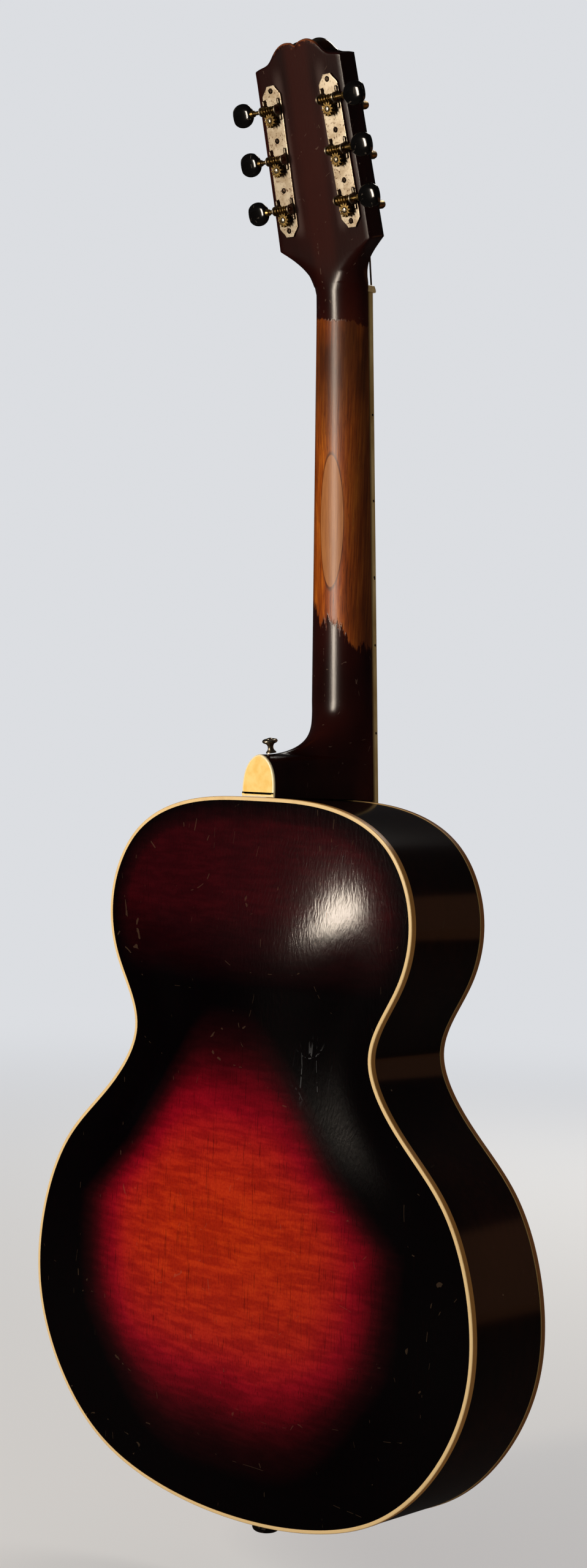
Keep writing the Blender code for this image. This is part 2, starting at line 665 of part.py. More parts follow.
def build_board():
    """The fingerboard with its frets, its binding and the nut, in the neck's own plane."""
    binding = 1.6
    frets = [SCALE_LENGTH * (1 - 2 ** (-n / 12)) for n in range(1, FRET_COUNT + 1)]
    levels = [(0.0, 0.0)]
    for fret in frets:
        levels += [(fret - 1.1, 0.0), (fret - 0.5, FRET_HEIGHT), (fret + 0.5, FRET_HEIGHT), (fret + 1.1, 0.0)]
    levels.append((BOARD_END - binding - GAP, 0.0))
    sections = []
    for down, raise_by in levels:
        half = board_half(-down) - binding - GAP
        camber = half * half / (2 * BOARD_RADIUS)
        tops = [(-half, camber), (-half / 3, camber / 9), (half / 3, camber / 9), (half, camber)]
        upper = [(x, -BOARD_THICKNESS + drop - raise_by, -down) for x, drop in tops]
        sections.append([(half, -GAP, -down), (-half, -GAP, -down)] + upper)
    place("fingerboard", loft_mesh("fingerboard", sections, 20.0), "rosewood", NECK)

    nut_half, end_half = board_half(0), board_half(-BOARD_END)
    edge = BOARD_THICKNESS - nut_half * nut_half / (2 * BOARD_RADIUS) - GAP
    strip = [(nut_half, 0.0), (end_half, -BOARD_END), (-end_half, -BOARD_END), (-nut_half, 0.0),
             (-nut_half + binding, 0.0), (-end_half + binding, -BOARD_END + binding),
             (end_half - binding, -BOARD_END + binding), (nut_half - binding, 0.0)]
    place("fingerboard_binding", flat_mesh("fingerboard_binding", strip, edge, -edge - GAP), "cream_plastic", NECK)

    nut = place("nut", box_mesh("nut", (-nut_half, -8.7, GAP), (nut_half, -GAP, 5.0)), "bone", NECK)
    for number, x in enumerate(string_xs(NUT_SPREAD), 1):
        room = STRING_RADII[number - 1] + GAP
        floor = NUT_STRING_Y - GLUE_PLANE_Y + room
        sections = [[(x - room, -12, z), (x + room, -12, z), (x + room, y, z), (x - room, y, z)]
                    for z, y in ((-3, floor), (2.0, floor), (9, floor + 2.4))]
        cut(nut, place(f"nut_slot_{number}", loft_mesh(f"nut_slot_{number}", sections), parent=NECK))


def string_xs(spread):
    return [spread * (k / 5 - 0.5) for k in range(6)]


def to_world(frame, point):
    """A point in one of the guide frames, in the guitar's own millimetres."""
    turn = frame.rotation_euler.to_matrix()
    return turn @ Vector(point) + frame.location / MM


def build_truss_cover():
    half = [(5.0, 2.6), (11.5, 3.2), (13.0, 6.5), (11.0, 12.5), (7.0, 22.5), (4.6, 31.0)]
    outline = half + [(0.0, 33.5)] + [(-x, z) for x, z in half[::-1]]
    place("truss_rod_cover", flat_mesh("truss_rod_cover", outline, 1.6, -HEAD_THICKNESS - GAP - 1.6),
          "black_plastic", HEAD)
    place("truss_rod_nut", rod_mesh("truss_rod_nut", (0, 0, 0), (0, 0, 8.0), 3.4, 6), "aged_brass", NECK,
          (0, 4.6, 1.9))


GEAR_Y = (3.9, 6.5)


def gear_sections():
    """Two toothed loops for the gear's faces; the first tooth points up at the worm."""
    pitch_radius = GEAR_MODULE * GEAR_TEETH / 2
    tip, root = pitch_radius + GEAR_MODULE * 0.75, pitch_radius - GEAR_MODULE * 1.15
    loop = []
    for tooth in range(GEAR_TEETH):
        centre = 2 * math.pi * tooth / GEAR_TEETH
        for radius, share in ((root, -0.26), (tip, -0.10), (tip, 0.10), (root, 0.26)):
            angle = centre + share * 2 * math.pi / GEAR_TEETH
            loop.append((radius * math.sin(angle), radius * math.cos(angle)))
    return [[(x, y, z) for x, z in loop] for y in GEAR_Y]


def worm_sections():
    """The thread's section carried along a right-hand helix about X, with a gap at its middle for a gear tooth."""
    pitch = math.pi * GEAR_MODULE
    turns, per_turn = 2.0, 10
    root, tip = WORM_ROOT - 0.3, WORM_RADIUS
    sections = []
    for k in range(int(turns * per_turn) + 1):
        angle = 2 * math.pi * (k / per_turn - turns / 2) + math.pi / 2
        middle = pitch * (k / per_turn - turns / 2)
        out = Vector((0, math.cos(angle), math.sin(angle)))
        section = []
        for radius, along in ((root, -0.28), (tip, -0.13), (tip, 0.13), (root, 0.28)):
            spot = out * radius
            section.append((middle + along * pitch, spot.y, spot.z))
        sections.append(section)
    return sections


def build_tuner_plate(label, side):
    """The strip that carries three machines, with a pair of bearing ears for each worm."""
    low, high = 40.6, 143.0

    def across(z, offset):
        return side * (28.5 - MACHINE_LEAN * (z - 45.1)) + offset, z
    half = TUNER_PLATE_HALF
    shape = [(low, -3.6), (low, 3.6), (low + 3.0, 6.0), (low + 7.5, half), (high - 5.5, half), (high - 3.0, 6.0),
             (high, 3.6), (high, -3.6), (high - 3.0, -6.0), (high - 5.5, -half), (low + 7.5, -half), (low + 3.0, -6.0)]
    plate_name = "tuner_plate_" + label
    back = GAP + TUNER_PLATE_THICKNESS
    plate = place(plate_name, flat_mesh(plate_name, [across(z, x) for z, x in shape], TUNER_PLATE_THICKNESS, GAP),
                  "aged_nickel", HEAD)
    for number, (x, z) in enumerate(post_places(side), 1):
        worm_z = z + WORM_ABOVE_GEAR
        for spot, ear_x in (("in", x - side * 5.6), ("out", x + side * 5.6)):
            ear_name = f"ear_{label}_{number}_{spot}"
            tab = [(worm_z - 3.2, 0.4), (worm_z + 3.2, 0.4), (worm_z + 3.2, WORM_AXIS_Y + 1.6),
                   (worm_z + 1.6, WORM_AXIS_Y + 3.0), (worm_z - 1.6, WORM_AXIS_Y + 3.0), (worm_z - 3.2, WORM_AXIS_Y + 1.6)]
            faces = [[(ear_x + step, y, height) for height, y in tab] for step in (-0.6, 0.6)]
            join(plate, place(ear_name, loft_mesh(ear_name, faces), parent=HEAD))
        bore = place(f"worm_bore_{label}_{number}",
                     rod_mesh("worm_bore", (x - 12, WORM_AXIS_Y, worm_z), (x + 12, WORM_AXIS_Y, worm_z),
                              SHAFT_RADIUS + 0.35, 12), parent=HEAD)
        hole = place(f"plate_hole_{label}_{number}",
                     rod_mesh("plate_hole", (x, -1, z), (x, back + 0.8, z), POST_RADIUS + 0.45, 14), parent=HEAD)
        window = place(f"plate_window_{label}_{number}",
                       box_mesh("plate_window", (x - 4.6, -1, worm_z - 1.6), (x + 4.6, back + 0.8, worm_z + 5.0)),
                       parent=HEAD)
        cut(plate, bore, hole, window)


def build_machines():
    for label, side in SIDES.items():
        build_tuner_plate(label, side)
        for number, (x, z) in enumerate(post_places(side), 1):
            worm_z = z + WORM_ABOVE_GEAR
            gear_name = f"gear_post_{label}_{number}"
            gear = place(gear_name, loft_mesh(gear_name, gear_sections(), 20.0), "aged_brass", HEAD, (x, 0, z))
            post_name = f"post_{label}_{number}"
            post = place(post_name, rod_mesh(post_name, (0, GEAR_Y[0] + 1.5, 0),
                                             (0, -HEAD_THICKNESS - POST_OUT, 0), POST_RADIUS, 14),
                         parent=HEAD, at=(x, 0, z))
            join(gear, post)

            worm_name = f"worm_shaft_{label}_{number}"
            inner, outer = (-side * 7.6, BUTTON_FROM * side - x - side * GAP)
            shaft = place(worm_name, rod_mesh(worm_name, (min(inner, outer), 0, 0), (max(inner, outer), 0, 0),
                                              SHAFT_RADIUS, 10), "aged_brass", HEAD, (x, WORM_AXIS_Y, worm_z))
            core_name = f"worm_core_{label}_{number}"
            core = place(core_name, rod_mesh(core_name, (-4.6, 0, 0), (4.6, 0, 0), WORM_ROOT, 10), parent=HEAD,
                         at=(x, WORM_AXIS_Y, worm_z))
            thread_name = f"worm_thread_{label}_{number}"
            thread = place(thread_name, loft_mesh(thread_name, worm_sections()), parent=HEAD,
                           at=(x, WORM_AXIS_Y, worm_z))
            join(shaft, core, thread)

            button_name = f"tuner_button_{label}_{number}"
            button = []
            for share in (0.0, 0.06, 0.22, 0.5, 0.78, 0.94, 1.0):
                swell = math.sqrt(max(0.0, 1 - (2 * share - 1.05) ** 2 / 1.15))
                wide, thick = 2.2 + 6.0 * swell, 2.0 + 1.5 * swell
                reach = side * BUTTON_LENGTH * share
                button.append([(reach, thick * math.sin(2 * math.pi * k / 12), wide * math.cos(2 * math.pi * k / 12))
                               for k in range(12)])
            place(button_name, loft_mesh(button_name, button, 50.0), "black_plastic", HEAD,
                  (side * BUTTON_FROM, WORM_AXIS_Y, worm_z))


def build_strings():
    """Each string as one tube: post, nut, saddle, and the crossbar's edge."""
    saddle_xs, nut_xs = string_xs(BRIDGE_SPREAD), string_xs(NUT_SPREAD)
    order = [("bass", 0), ("bass", 1), ("bass", 2), ("treble", 2), ("treble", 1), ("treble", 0)]
    for number, (label, machine) in enumerate(order, 1):
        side = SIDES[label]
        radius = STRING_RADII[number - 1]
        post_x, post_z = post_places(side)[machine]
        wrap_y = -HEAD_THICKNESS - 7.0 - 1.5 * machine
        start = to_world(HEAD, (post_x - side * (POST_RADIUS + radius + GAP), wrap_y, post_z + 1.0))
        camber = saddle_xs[number - 1] ** 2 / (2 * BOARD_RADIUS)
        nut_point = to_world(NECK, (nut_xs[number - 1], NUT_STRING_Y - GLUE_PLANE_Y, 2.5))
        saddle_point = Vector((saddle_xs[number - 1], SADDLE_STRING_Y + camber, BRIDGE_Z))
        end = to_world(TAIL, (saddle_xs[number - 1] * 1.02, camber * 0.4, CROSSBAR_UP + 7.5))
        tube(f"string_{number}", [start, nut_point, saddle_point, end], radius, "string_steel", resolution=1)


def build_bridge():
    base_front = top_y(0, BRIDGE_Z) - 8.0
    sections = []
    for x in np.linspace(-72, 72, 17):
        low = [top_y(x, BRIDGE_Z + step) - 0.4 for step in (-6.0, 6.0)]
        lift = 3.0 if abs(x) < 20 else 0.0
        end = abs(x) / 72
        crest = min(base_front + (6.5 * max(0.0, (end - 0.6) / 0.4) ** 1.3), min(low) - lift - 2.0)
        sections.append([(x, low[0] - lift, BRIDGE_Z - 6), (x, low[1] - lift, BRIDGE_Z + 6),
                         (x, crest, BRIDGE_Z + 4.5), (x, crest, BRIDGE_Z - 4.5)])
    base = place("bridge_base", loft_mesh("bridge_base", sections, 30.0), "rosewood")

    wheel_back, wheel_front = base_front - 1.5, base_front - 4.0
    saddle_back = wheel_front - GAP
    stud_tip = saddle_back - 5.0
    saddle_sections = []
    for x in np.linspace(-56, 56, 13):
        front = SADDLE_STRING_Y + 0.95 + x * x / (2 * BOARD_RADIUS)
        front = min(front + 5.0 * max(0.0, (abs(x) - 30) / 26) ** 1.5, saddle_back - 5.0)
        saddle_sections.append([(x, saddle_back, BRIDGE_Z - 4), (x, saddle_back, BRIDGE_Z + 4),
                                (x, front, BRIDGE_Z + 1.5), (x, front, BRIDGE_Z - 1.5)])
    saddle = place("bridge_saddle", loft_mesh("bridge_saddle", saddle_sections, 30.0), "rosewood")
    for label, side in SIDES.items():
        stud = place("stud_" + label, rod_mesh("stud_" + label, (side * STUD_X, base_front + 5, BRIDGE_Z),
                                               (side * STUD_X, stud_tip, BRIDGE_Z), STUD_RADIUS, 12))
        join(base, stud)
        bore = place("stud_bore_" + label, rod_mesh("stud_bore", (side * STUD_X, saddle_back + 3, BRIDGE_Z),
                                                    (side * STUD_X, stud_tip - 1.5, BRIDGE_Z), STUD_RADIUS + 0.5, 12))
        cut(saddle, bore)
        inside, half = STUD_RADIUS + 0.4, (wheel_back - wheel_front) / 2
        profile = [(inside, half), (WHEEL_RADIUS - 0.4, half), (WHEEL_RADIUS, half - 0.4), (WHEEL_RADIUS, 0.4 - half),
                   (WHEEL_RADIUS - 0.4, -half), (inside, -half), (inside, half)]
        turned("thumbwheel_" + label, profile, "aged_brass",
               at=(side * STUD_X, (wheel_back + wheel_front) / 2, BRIDGE_Z), turn=(90, 0, 0), steps=18)


def build_tailpiece():
    """The trapeze: a crossbar on two legs that swing on a pin in the tail bracket."""
    bar = place("tailpiece", box_mesh("tailpiece", (-46, -1.6, CROSSBAR_UP - 7), (46, 1.6, CROSSBAR_UP + 7)),
                "aged_nickel", TAIL)
    bevel = bar.modifiers.new("rounded", "BEVEL")
    bevel.width = 1.0 * MM
    bevel.segments = 2
    for label, side in SIDES.items():
        leg_points = [(side * 40, 0, CROSSBAR_UP - 4), (side * 37, 0, CROSSBAR_UP - 16), (side * 19, 0, 22),
                      (side * 14.5, 0, 6), (side * 14.5, 0, 1)]
        leg = tube("tailpiece_leg_" + label, leg_points, 2.0, None, TAIL)
        knuckle = place("knuckle_" + label, rod_mesh("knuckle", (side * 11.3, 0, 0), (side * 17.3, 0, 0), 4.0, 14),
                        parent=TAIL)
        join(bar, leg, knuckle)
    pin_bore = place("hinge_pin_bore", rod_mesh("hinge_pin_bore", (-30, 0, 0), (30, 0, 0), HINGE_PIN_RADIUS + 0.45, 12),
                     parent=TAIL)
    cut(bar, pin_bore)
    place("tailpiece_hinge_pin", rod_mesh("tailpiece_hinge_pin", (-18.5, HINGE_Y, HINGE_Z), (18.5, HINGE_Y, HINGE_Z),
                                          HINGE_PIN_RADIUS, 12), "aged_nickel")

    face_z = BODY_TOP_Z - BODY_LENGTH - 0.7
    outline = [(-17, -9), (-10.6, -13), (10.6, -13), (17, -9), (17, 20), (12, 38), (0, 44), (-12, 38), (-17, 20)]
    sections = [[(x, y, z) for x, y in outline] for z in (face_z - 2.0, face_z)]
    bracket = place("tailpiece_bracket", loft_mesh("tailpiece_bracket", sections), "aged_nickel")
    web = place("bracket_web", box_mesh("bracket_web", (-10.6, HINGE_Y + 2, face_z - 2.0), (10.6, -11, face_z)))
    barrel = place("bracket_barrel", rod_mesh("bracket_barrel", (-10.6, HINGE_Y, HINGE_Z), (10.6, HINGE_Y, HINGE_Z),
                                              4.0, 14))
    join(bracket, web, barrel)
    cut(bracket, pin_bore)
    pin_clear = place("end_pin_clearance", rod_mesh("end_pin_clearance", (0, 25.1, -835), (0, 25.1, -850), 5.3, 12))
    cut(bracket, pin_clear)

    head = [(0.0, -13.5), (5.0, -13.5), (8.6, -12.2), (9.6, -9.6), (8.0, -6.8), (6.4, -4.6), (7.2, -2.6),
            (8.2, 0.0), (4.8, 0.0), (4.3, 20.0), (0.0, 20.0)]
    turned("end_pin", head[::-1], "cream_plastic", at=(0, 25.1, face_z - 2.0 - GAP), steps=16)


def build_trim():
    base = (0, 51.0, HEEL_TIP_Z + 1.4)
    profile = [(0.0, 9.5), (4.0, 9.5), (5.2, 8.6), (5.2, 7.6), (3.0, 6.2), (2.0, 4.5), (2.6, 1.6), (3.6, 0.4),
               (3.6, 0.0), (0.0, 0.0)]
    turned("strap_button", profile, "aged_nickel", at=base, turn=(-12, 0, 0), steps=16)

    guard = [(30.5, 78), (31.5, 245), (35, 263), (40, 266.5), (75.5, 266.5), (76.5, 284), (80, 299), (88, 302), (95, 292),
             (100, 262), (102, 224), (99, 190), (86, 158), (62, 118), (46, 92)]
    outline = [(x, BODY_TOP_Z - d) for x, d in guard]
    place("pickguard", flat_mesh("pickguard", outline, 2.2, -36.8), "tortoise_plastic")
    rod = [(122.6, 10, -543.1), (122.6, -14, -543.1), (121, -23, -543.1), (114, -29.8, -543.1), (104, -32.4, -544),
           (88, -32.4, -547)]
    bracket = tube("pickguard_bracket", rod, 1.5, "aged_nickel")
    foot = place("bracket_foot", box_mesh("bracket_foot", (-0.8, -2, -5), (0.8, 14, 5)), at=(121.9, 0, -543.1),
                 turn=(0, -33.5, 0))
    join(bracket, foot)


build_body()
build_neck()
build_board()
build_truss_cover()
build_machines()
build_strings()
build_bridge()
build_tailpiece()
build_trim()
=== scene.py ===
"""An archtop guitar, dressed piece by piece in the order a maker puts it together.

Sizes in the code are millimetres, and MM turns them into metres when a mesh is made. +Z runs up the neck,
-Y is the front with the strings, +Y the back, -X the bass side. The origin is the middle of the neck at the
nut.
"""

import bmesh
import bpy
import numpy as np
from mathutils import Matrix, Vector


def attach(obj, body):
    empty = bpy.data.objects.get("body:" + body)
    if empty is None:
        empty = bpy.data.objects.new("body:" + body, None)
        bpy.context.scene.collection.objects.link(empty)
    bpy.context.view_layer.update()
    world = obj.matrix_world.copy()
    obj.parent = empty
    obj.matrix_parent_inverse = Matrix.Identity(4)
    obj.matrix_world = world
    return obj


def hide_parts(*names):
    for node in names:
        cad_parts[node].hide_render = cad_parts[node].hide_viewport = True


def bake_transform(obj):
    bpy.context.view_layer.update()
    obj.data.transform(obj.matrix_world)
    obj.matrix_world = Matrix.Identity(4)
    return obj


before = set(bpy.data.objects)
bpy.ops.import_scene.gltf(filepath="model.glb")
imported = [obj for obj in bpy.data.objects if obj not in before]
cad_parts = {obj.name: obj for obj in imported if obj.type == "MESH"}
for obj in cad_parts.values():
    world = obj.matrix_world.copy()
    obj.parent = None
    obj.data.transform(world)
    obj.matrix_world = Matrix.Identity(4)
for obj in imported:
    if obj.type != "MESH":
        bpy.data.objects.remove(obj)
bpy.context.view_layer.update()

# The studio: the camera stands behind the guitar, a little to the bass side, level with the neck joint. The
# guitar hangs over a pale floor under soft light. One tall lamp behind it makes the long gloss on the neck.
view_azimuth, view_elevation, view_roll = np.radians([222.33, 0.33, 2.29])
level_share = np.cos(view_elevation)
toward = Vector((np.sin(view_azimuth) * level_share, -np.cos(view_azimuth) * level_share,
                 np.sin(view_elevation)))
level = Vector((0, 0, 1)).cross(toward).normalized()
plumb = toward.cross(level)
camera_data = bpy.data.cameras.new("view")
camera_data.sensor_fit = "VERTICAL"
camera_data.sensor_height = 36.0
camera_data.lens = 55.42
camera = bpy.data.objects.new("view", camera_data)
camera.matrix_world = Matrix((
    level * np.cos(view_roll) + plumb * np.sin(view_roll),
    plumb * np.cos(view_roll) - level * np.sin(view_roll),
    toward)).transposed().to_4x4()
camera.matrix_world.translation = (-1.1185, 1.2551, -0.3323)
bpy.context.scene.collection.objects.link(camera)
bpy.context.scene.camera = camera
bpy.context.scene.view_settings.view_transform = "Standard"


class Field:
    """A node's output that adds up like a number: each + - * or / puts a Math node into its own node tree."""

    def __init__(self, socket):
        self.socket = socket

    def __add__(self, other):
        return calc("ADD", self, other)

    def __sub__(self, other):
        return calc("SUBTRACT", self, other)

    def __rsub__(self, other):
        return calc("SUBTRACT", other, self)

    def __mul__(self, other):
        return calc("MULTIPLY", self, other)

    def __truediv__(self, other):
        return calc("DIVIDE", self, other)


def join(value, socket):
    """Sets an input: a field is linked to it, and a plain value is written on it."""
    if isinstance(value, Field):
        socket.id_data.links.new(value.socket, socket)
    else:
        socket.default_value = value


def put(kind, props=None, tree=None, **sockets):
    """Adds a node. A keyword is an input by name, or by number after an underscore, and takes a field or a
    value. Where no tree is given, the node goes into the one that its fields come from."""
    tree = tree or next(value.socket.id_data for value in sockets.values() if isinstance(value, Field))
    made = tree.nodes.new(kind)
    for key, value in (props or {}).items():
        setattr(made, key, value)
    for key, value in sockets.items():
        join(value, made.inputs[int(key[1:]) if key[0] == "_" else key.replace("_", " ")])
    return made


def field(kind, props=None, tree=None, output=0, **sockets):
    """The field that a new node puts out."""
    return Field(put(kind, props, tree, **sockets).outputs[output])


def calc(operation, a, b=0.0, c=0.0):
    """One sum on numbers, such as the MAXIMUM of a and b."""
    return field("ShaderNodeMath", {"operation": operation}, _0=a, _1=b, _2=c)


def spot(shader):
    """Object coordinates, in metres, which are the guitar's own."""
    return field("ShaderNodeTexCoord", tree=shader.id_data, output="Object")


def rays(tree):
    """Two fields: 1 where a ray comes straight from the camera, and 1 where it is a reflection."""
    path = put("ShaderNodeLightPath", tree=tree).outputs
    return Field(path["Is Camera Ray"]), Field(path["Is Glossy Ray"])


def new_shader(name, **settings):
    """A material and its Principled shader; settings are the shader's inputs, such as Coat_Weight."""
    material = bpy.data.materials.new(name)
    material.use_nodes = True
    shader = material.node_tree.nodes["Principled BSDF"]
    for key, value in settings.items():
        join(value, shader.inputs[key.replace("_", " ")])
    return material, shader


def full_turn(count):
    """Angles spread evenly over a full turn."""
    return np.linspace(0, 2 * np.pi, count, endpoint=False)


def spread(x, y, z):
    """Points from three arrays, or numbers, that are stretched to one shape."""
    return np.stack(np.broadcast_arrays(x, y, z), -1)


world = bpy.data.worlds.new("studio")
bpy.context.scene.world = world
world.use_nodes = True
background = world.node_tree.nodes["Background"].inputs
seen, reflected = rays(world.node_tree)
join((0.94, 0.96, 1.0, 1.0), background["Color"])
join(seen * 0.60 - reflected * 0.145 + 0.16, background["Strength"])

floor_mesh = bpy.data.meshes.new("floor")
turn = full_turn(64)
floor_mesh.from_pydata(spread(15 * np.cos(turn), 15 * np.sin(turn), -0.905).tolist(), [], [list(range(64))])
floor = bpy.data.objects.new("floor", floor_mesh)
bpy.context.scene.collection.objects.link(floor)
floor_finish, shader = new_shader("pale_floor", Base_Color=(0.74, 0.73, 0.71, 1.0), Roughness=0.9,
                                  Specular_IOR_Level=0.1)
floor_nodes = shader.id_data
# The floor is pale to the camera, but the guitar's gloss reflects a near-black copy of it: painted shade on
# the floor for reflected rays.
seen, reflected = rays(floor_nodes)
floor_painted_dark_in_reflections = field("ShaderNodeBsdfDiffuse", tree=floor_nodes, Color=(0.03, 0.029, 0.028, 1.0))
plain = field("ShaderNodeMixShader", _0=reflected, _1=Field(shader.outputs[0]), _2=floor_painted_dark_in_reflections)
haze = field("ShaderNodeEmission", tree=floor_nodes, Color=(0.94, 0.96, 1.0, 1.0), Strength=0.76)
away = field("ShaderNodeVectorMath", {"operation": "LENGTH"}, output="Value", _0=spot(shader))
away = field("ShaderNodeMapRange", {"interpolation_type": "SMOOTHERSTEP"}, Value=away, From_Min=0.7,
             From_Max=4.0, To_Min=0.35)
sweep = field("ShaderNodeMixShader", _0=away * seen, _1=plain, _2=haze)
join(sweep, floor_nodes.nodes["Material Output"].inputs["Surface"])
floor_mesh.materials.append(floor_finish)


def lamp(name, place, aim, size, watts, colour=(1.0, 0.95, 0.88), mirrored=True):
    """A soft box: place and aim in metres, size its width and height. One that isn't mirrored gives no
    gloss."""
    light = bpy.data.lights.new(name, "AREA")
    light.shape = "RECTANGLE"
    light.size, light.size_y = size
    light.energy = watts
    light.color = colour
    box = bpy.data.objects.new(name, light)
    box.location = place
    box.rotation_euler = (Vector(aim) - Vector(place)).to_track_quat("-Z", "Y").to_euler()
    bpy.context.scene.collection.objects.link(box)
    box.visible_camera = False
    box.visible_glossy = mirrored


lamp("key_box", (0.423, 1.188, -0.1125), (0.423, 0.0, -0.1125), (0.18, 0.575), 9.5, (1.0, 0.87, 0.72))
lamp("back_fill", (0.3, 2.6, 0.1), (0.0, 0.0, -0.55), (1.6, 1.6), 20.0, (1.0, 0.90, 0.80), False)
lamp("front_box", (0.9, -2.3, 0.6), (0.0, 0.0, -0.4), (1.2, 1.2), 34.0, mirrored=False)
lamp("front_gloss", (0.3, -1.6, 1.8), (0.0, 0.0, -0.4), (1.2, 0.6), 16.0)
lamp("bass_glow", (-1.5, -2.6, -0.14), (-0.13, 0.0, -0.5), (2.0, 1.48), 1.6, (1.0, 0.40, 0.18))

# The top and back plates: arched wood, spruce in front with two f-holes and flamed maple behind, carved with
# a flat ledge round the edge. The finish is a red sunburst sprayed dark toward the rim, under old clear
# lacquer. On the back the burst's bright middle is held to the lower bout, which partly paints the fall of
# the light over the back.
MM = 0.001
BODY_TOP_Z = -351.6
FRONT_RIM_Y, BACK_RIM_Y = -12.9, 63.1
PLATE_THICKNESS = 4.6
EDGE_LEDGE = 10.0
TOP_ARCH, BACK_ARCH = 16.0, 12.7
TOP_SPINE, BACK_SPINE = (105.0, 345.0), (127.0, 345.0)
HALF_OUTLINE = [(0, 0), (70.5, 5), (117.5, 28), (138.5, 68), (131.5, 118), (110, 166.5), (125.5, 199.5),
                (174.5, 251), (198.5, 306.5), (200, 365.5), (176, 420), (133.5, 460.5), (74, 482.5),
                (0, 489.7)]


def curve_through(points, steps, closed=False):
    """Points on the smooth cubic through the given ones, steps to a span. Its slopes m solve
    h[i] m[i-1] + 2 (h[i-1] + h[i]) m[i] + h[i-1] m[i+1] = 3 (h[i] c[i-1] + h[i-1] c[i]),
    with h the chord lengths and c their directions. An open end has 2 m[0] + m[1] = 3 c[0]."""
    points = np.array(points, float)
    after = np.roll(points, -1, 0)
    h = np.maximum(np.linalg.norm(after - points, axis=1), 1e-9)[:, None]
    c = (after - points) / h
    h_before, c_before = np.roll(h, 1, 0), np.roll(c, 1, 0)
    same = np.eye(len(points))
    matrix = 2 * (h + h_before) * same + h * np.roll(same, -1, 1) + h_before * np.roll(same, 1, 1)
    wanted = 3 * (h * c_before + h_before * c)
    if not closed:
        matrix[0], wanted[0] = 2 * same[0] + same[1], 3 * c[0]
        matrix[-1], wanted[-1] = same[-2] + 2 * same[-1], 3 * c[-2]
    slope = np.linalg.solve(matrix, wanted)
    u = np.linspace(0, 1, steps, endpoint=False)[None, :, None]
    start, leave = points[:, None], (slope * h)[:, None]
    end, arrive = after[:, None], (np.roll(slope, -1, 0) * h)[:, None]
    spans = ((2 * u**3 - 3 * u**2 + 1) * start + (u**3 - 2 * u**2 + u) * leave
             + (3 * u**2 - 2 * u**3) * end + (u**3 - u**2) * arrive)
    if closed:
        return spans.reshape(-1, points.shape[1])
    return np.vstack([spans[:-1].reshape(-1, points.shape[1]), points[-1:]])


def inset(loop, distance):
    """A closed loop moved inwards along its normals by a distance, or by several at once."""
    along = np.roll(loop, -1, 0) - np.roll(loop, 1, 0)
    along /= np.hypot(*along.T)[:, None]
    inward = np.stack([-along[:, 1], along[:, 0]], 1)
    if np.ndim(distance):
        return loop[:, None] + inward[:, None] * np.asarray(distance)[None, :, None]
    return loop + inward * distance


def mirrored(half):
    """A closed outline from its treble half, whose end points lie on the middle line."""
    half = np.array(half, float)
    return np.vstack([half, (half[1:-1] * [-1, 1])[::-1]])


def solid(name, *grids, around=True, along=False, ends=True, sharp=35.0, values=None):
    """One mesh from grids of points in millimetres, grid[row, column]: a quad between each two rows and
    columns. around joins the last column to the first, along the last row to the first, and ends caps the
    outer rows. values are numbers kept on the points, by name. Faces are turned outwards and doubles
    merged."""
    points, faces, count = [], [], 0
    for grid in grids:
        rows, columns = grid.shape[:2]
        index = np.arange(rows * columns).reshape(rows, columns) + count
        count += rows * columns
        points.append(grid.reshape(-1, 3))
        if ends and around and not along:
            faces += [index[0].tolist(), index[-1].tolist()]
        if along:
            index = np.vstack([index, index[:1]])
        if around:
            index = np.hstack([index, index[:, :1]])
        quads = np.stack([index[:-1, :-1], index[:-1, 1:], index[1:, 1:], index[1:, :-1]], -1)
        faces += quads.reshape(-1, 4).tolist()
    mesh = bpy.data.meshes.new(name)
    mesh.from_pydata((np.vstack(points) * MM).tolist(), [], faces)
    for key, numbers in (values or {}).items():
        kept = mesh.attributes.new(key, "FLOAT", "POINT").data
        kept.foreach_set("value", np.asarray(numbers, np.float32).ravel())
    bm = bmesh.new()
    bm.from_mesh(mesh)
    bmesh.ops.remove_doubles(bm, verts=bm.verts, dist=0.000005)
    bmesh.ops.dissolve_degenerate(bm, edges=bm.edges, dist=0.000001)
    bmesh.ops.recalc_face_normals(bm, faces=bm.faces)
    bm.to_mesh(mesh)
    bm.free()
    mesh.shade_smooth()
    mesh.set_sharp_from_angle(angle=np.radians(sharp))
    piece = bpy.data.objects.new(name, mesh)
    bpy.context.scene.collection.objects.link(piece)
    return piece


def carve(piece, *cutters):
    """Cuts other pieces out of one, which stays a plain mesh; the cutters go."""
    for cutter in cutters:
        modifier = piece.modifiers.new("cut", "BOOLEAN")
        modifier.operation = "DIFFERENCE"
        modifier.solver = "EXACT"
        modifier.object = cutter
    bpy.context.view_layer.update()
    made = bpy.data.meshes.new_from_object(piece.evaluated_get(bpy.context.evaluated_depsgraph_get()))
    piece.modifiers.clear()
    piece.data = made
    made.shade_smooth()
    made.set_sharp_from_angle(angle=np.radians(35))
    for cutter in cutters:
        bpy.data.objects.remove(cutter)
    return piece


def fit(piece, body, slot, finish, *nodes):
    """Gives a piece its finish and rides it on a body, in place of the plain solids it stands for."""
    piece.data.materials.clear()
    piece.data.materials.append(finish)
    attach(piece, body)
    if nodes:
        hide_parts(*nodes)
    return piece


outline = curve_through(mirrored(HALF_OUTLINE), 14, closed=True)


def cosine_rise(t):
    """The top's arch from ledge (0) to ridge (1): (1 - cos(pi s)) / 2, with s = ((t - 0.05) / 0.95) **
    0.9."""
    return 0.5 - 0.5 * np.cos(np.pi * np.clip((t - 0.05) / 0.95, 0, 1) ** 0.9)


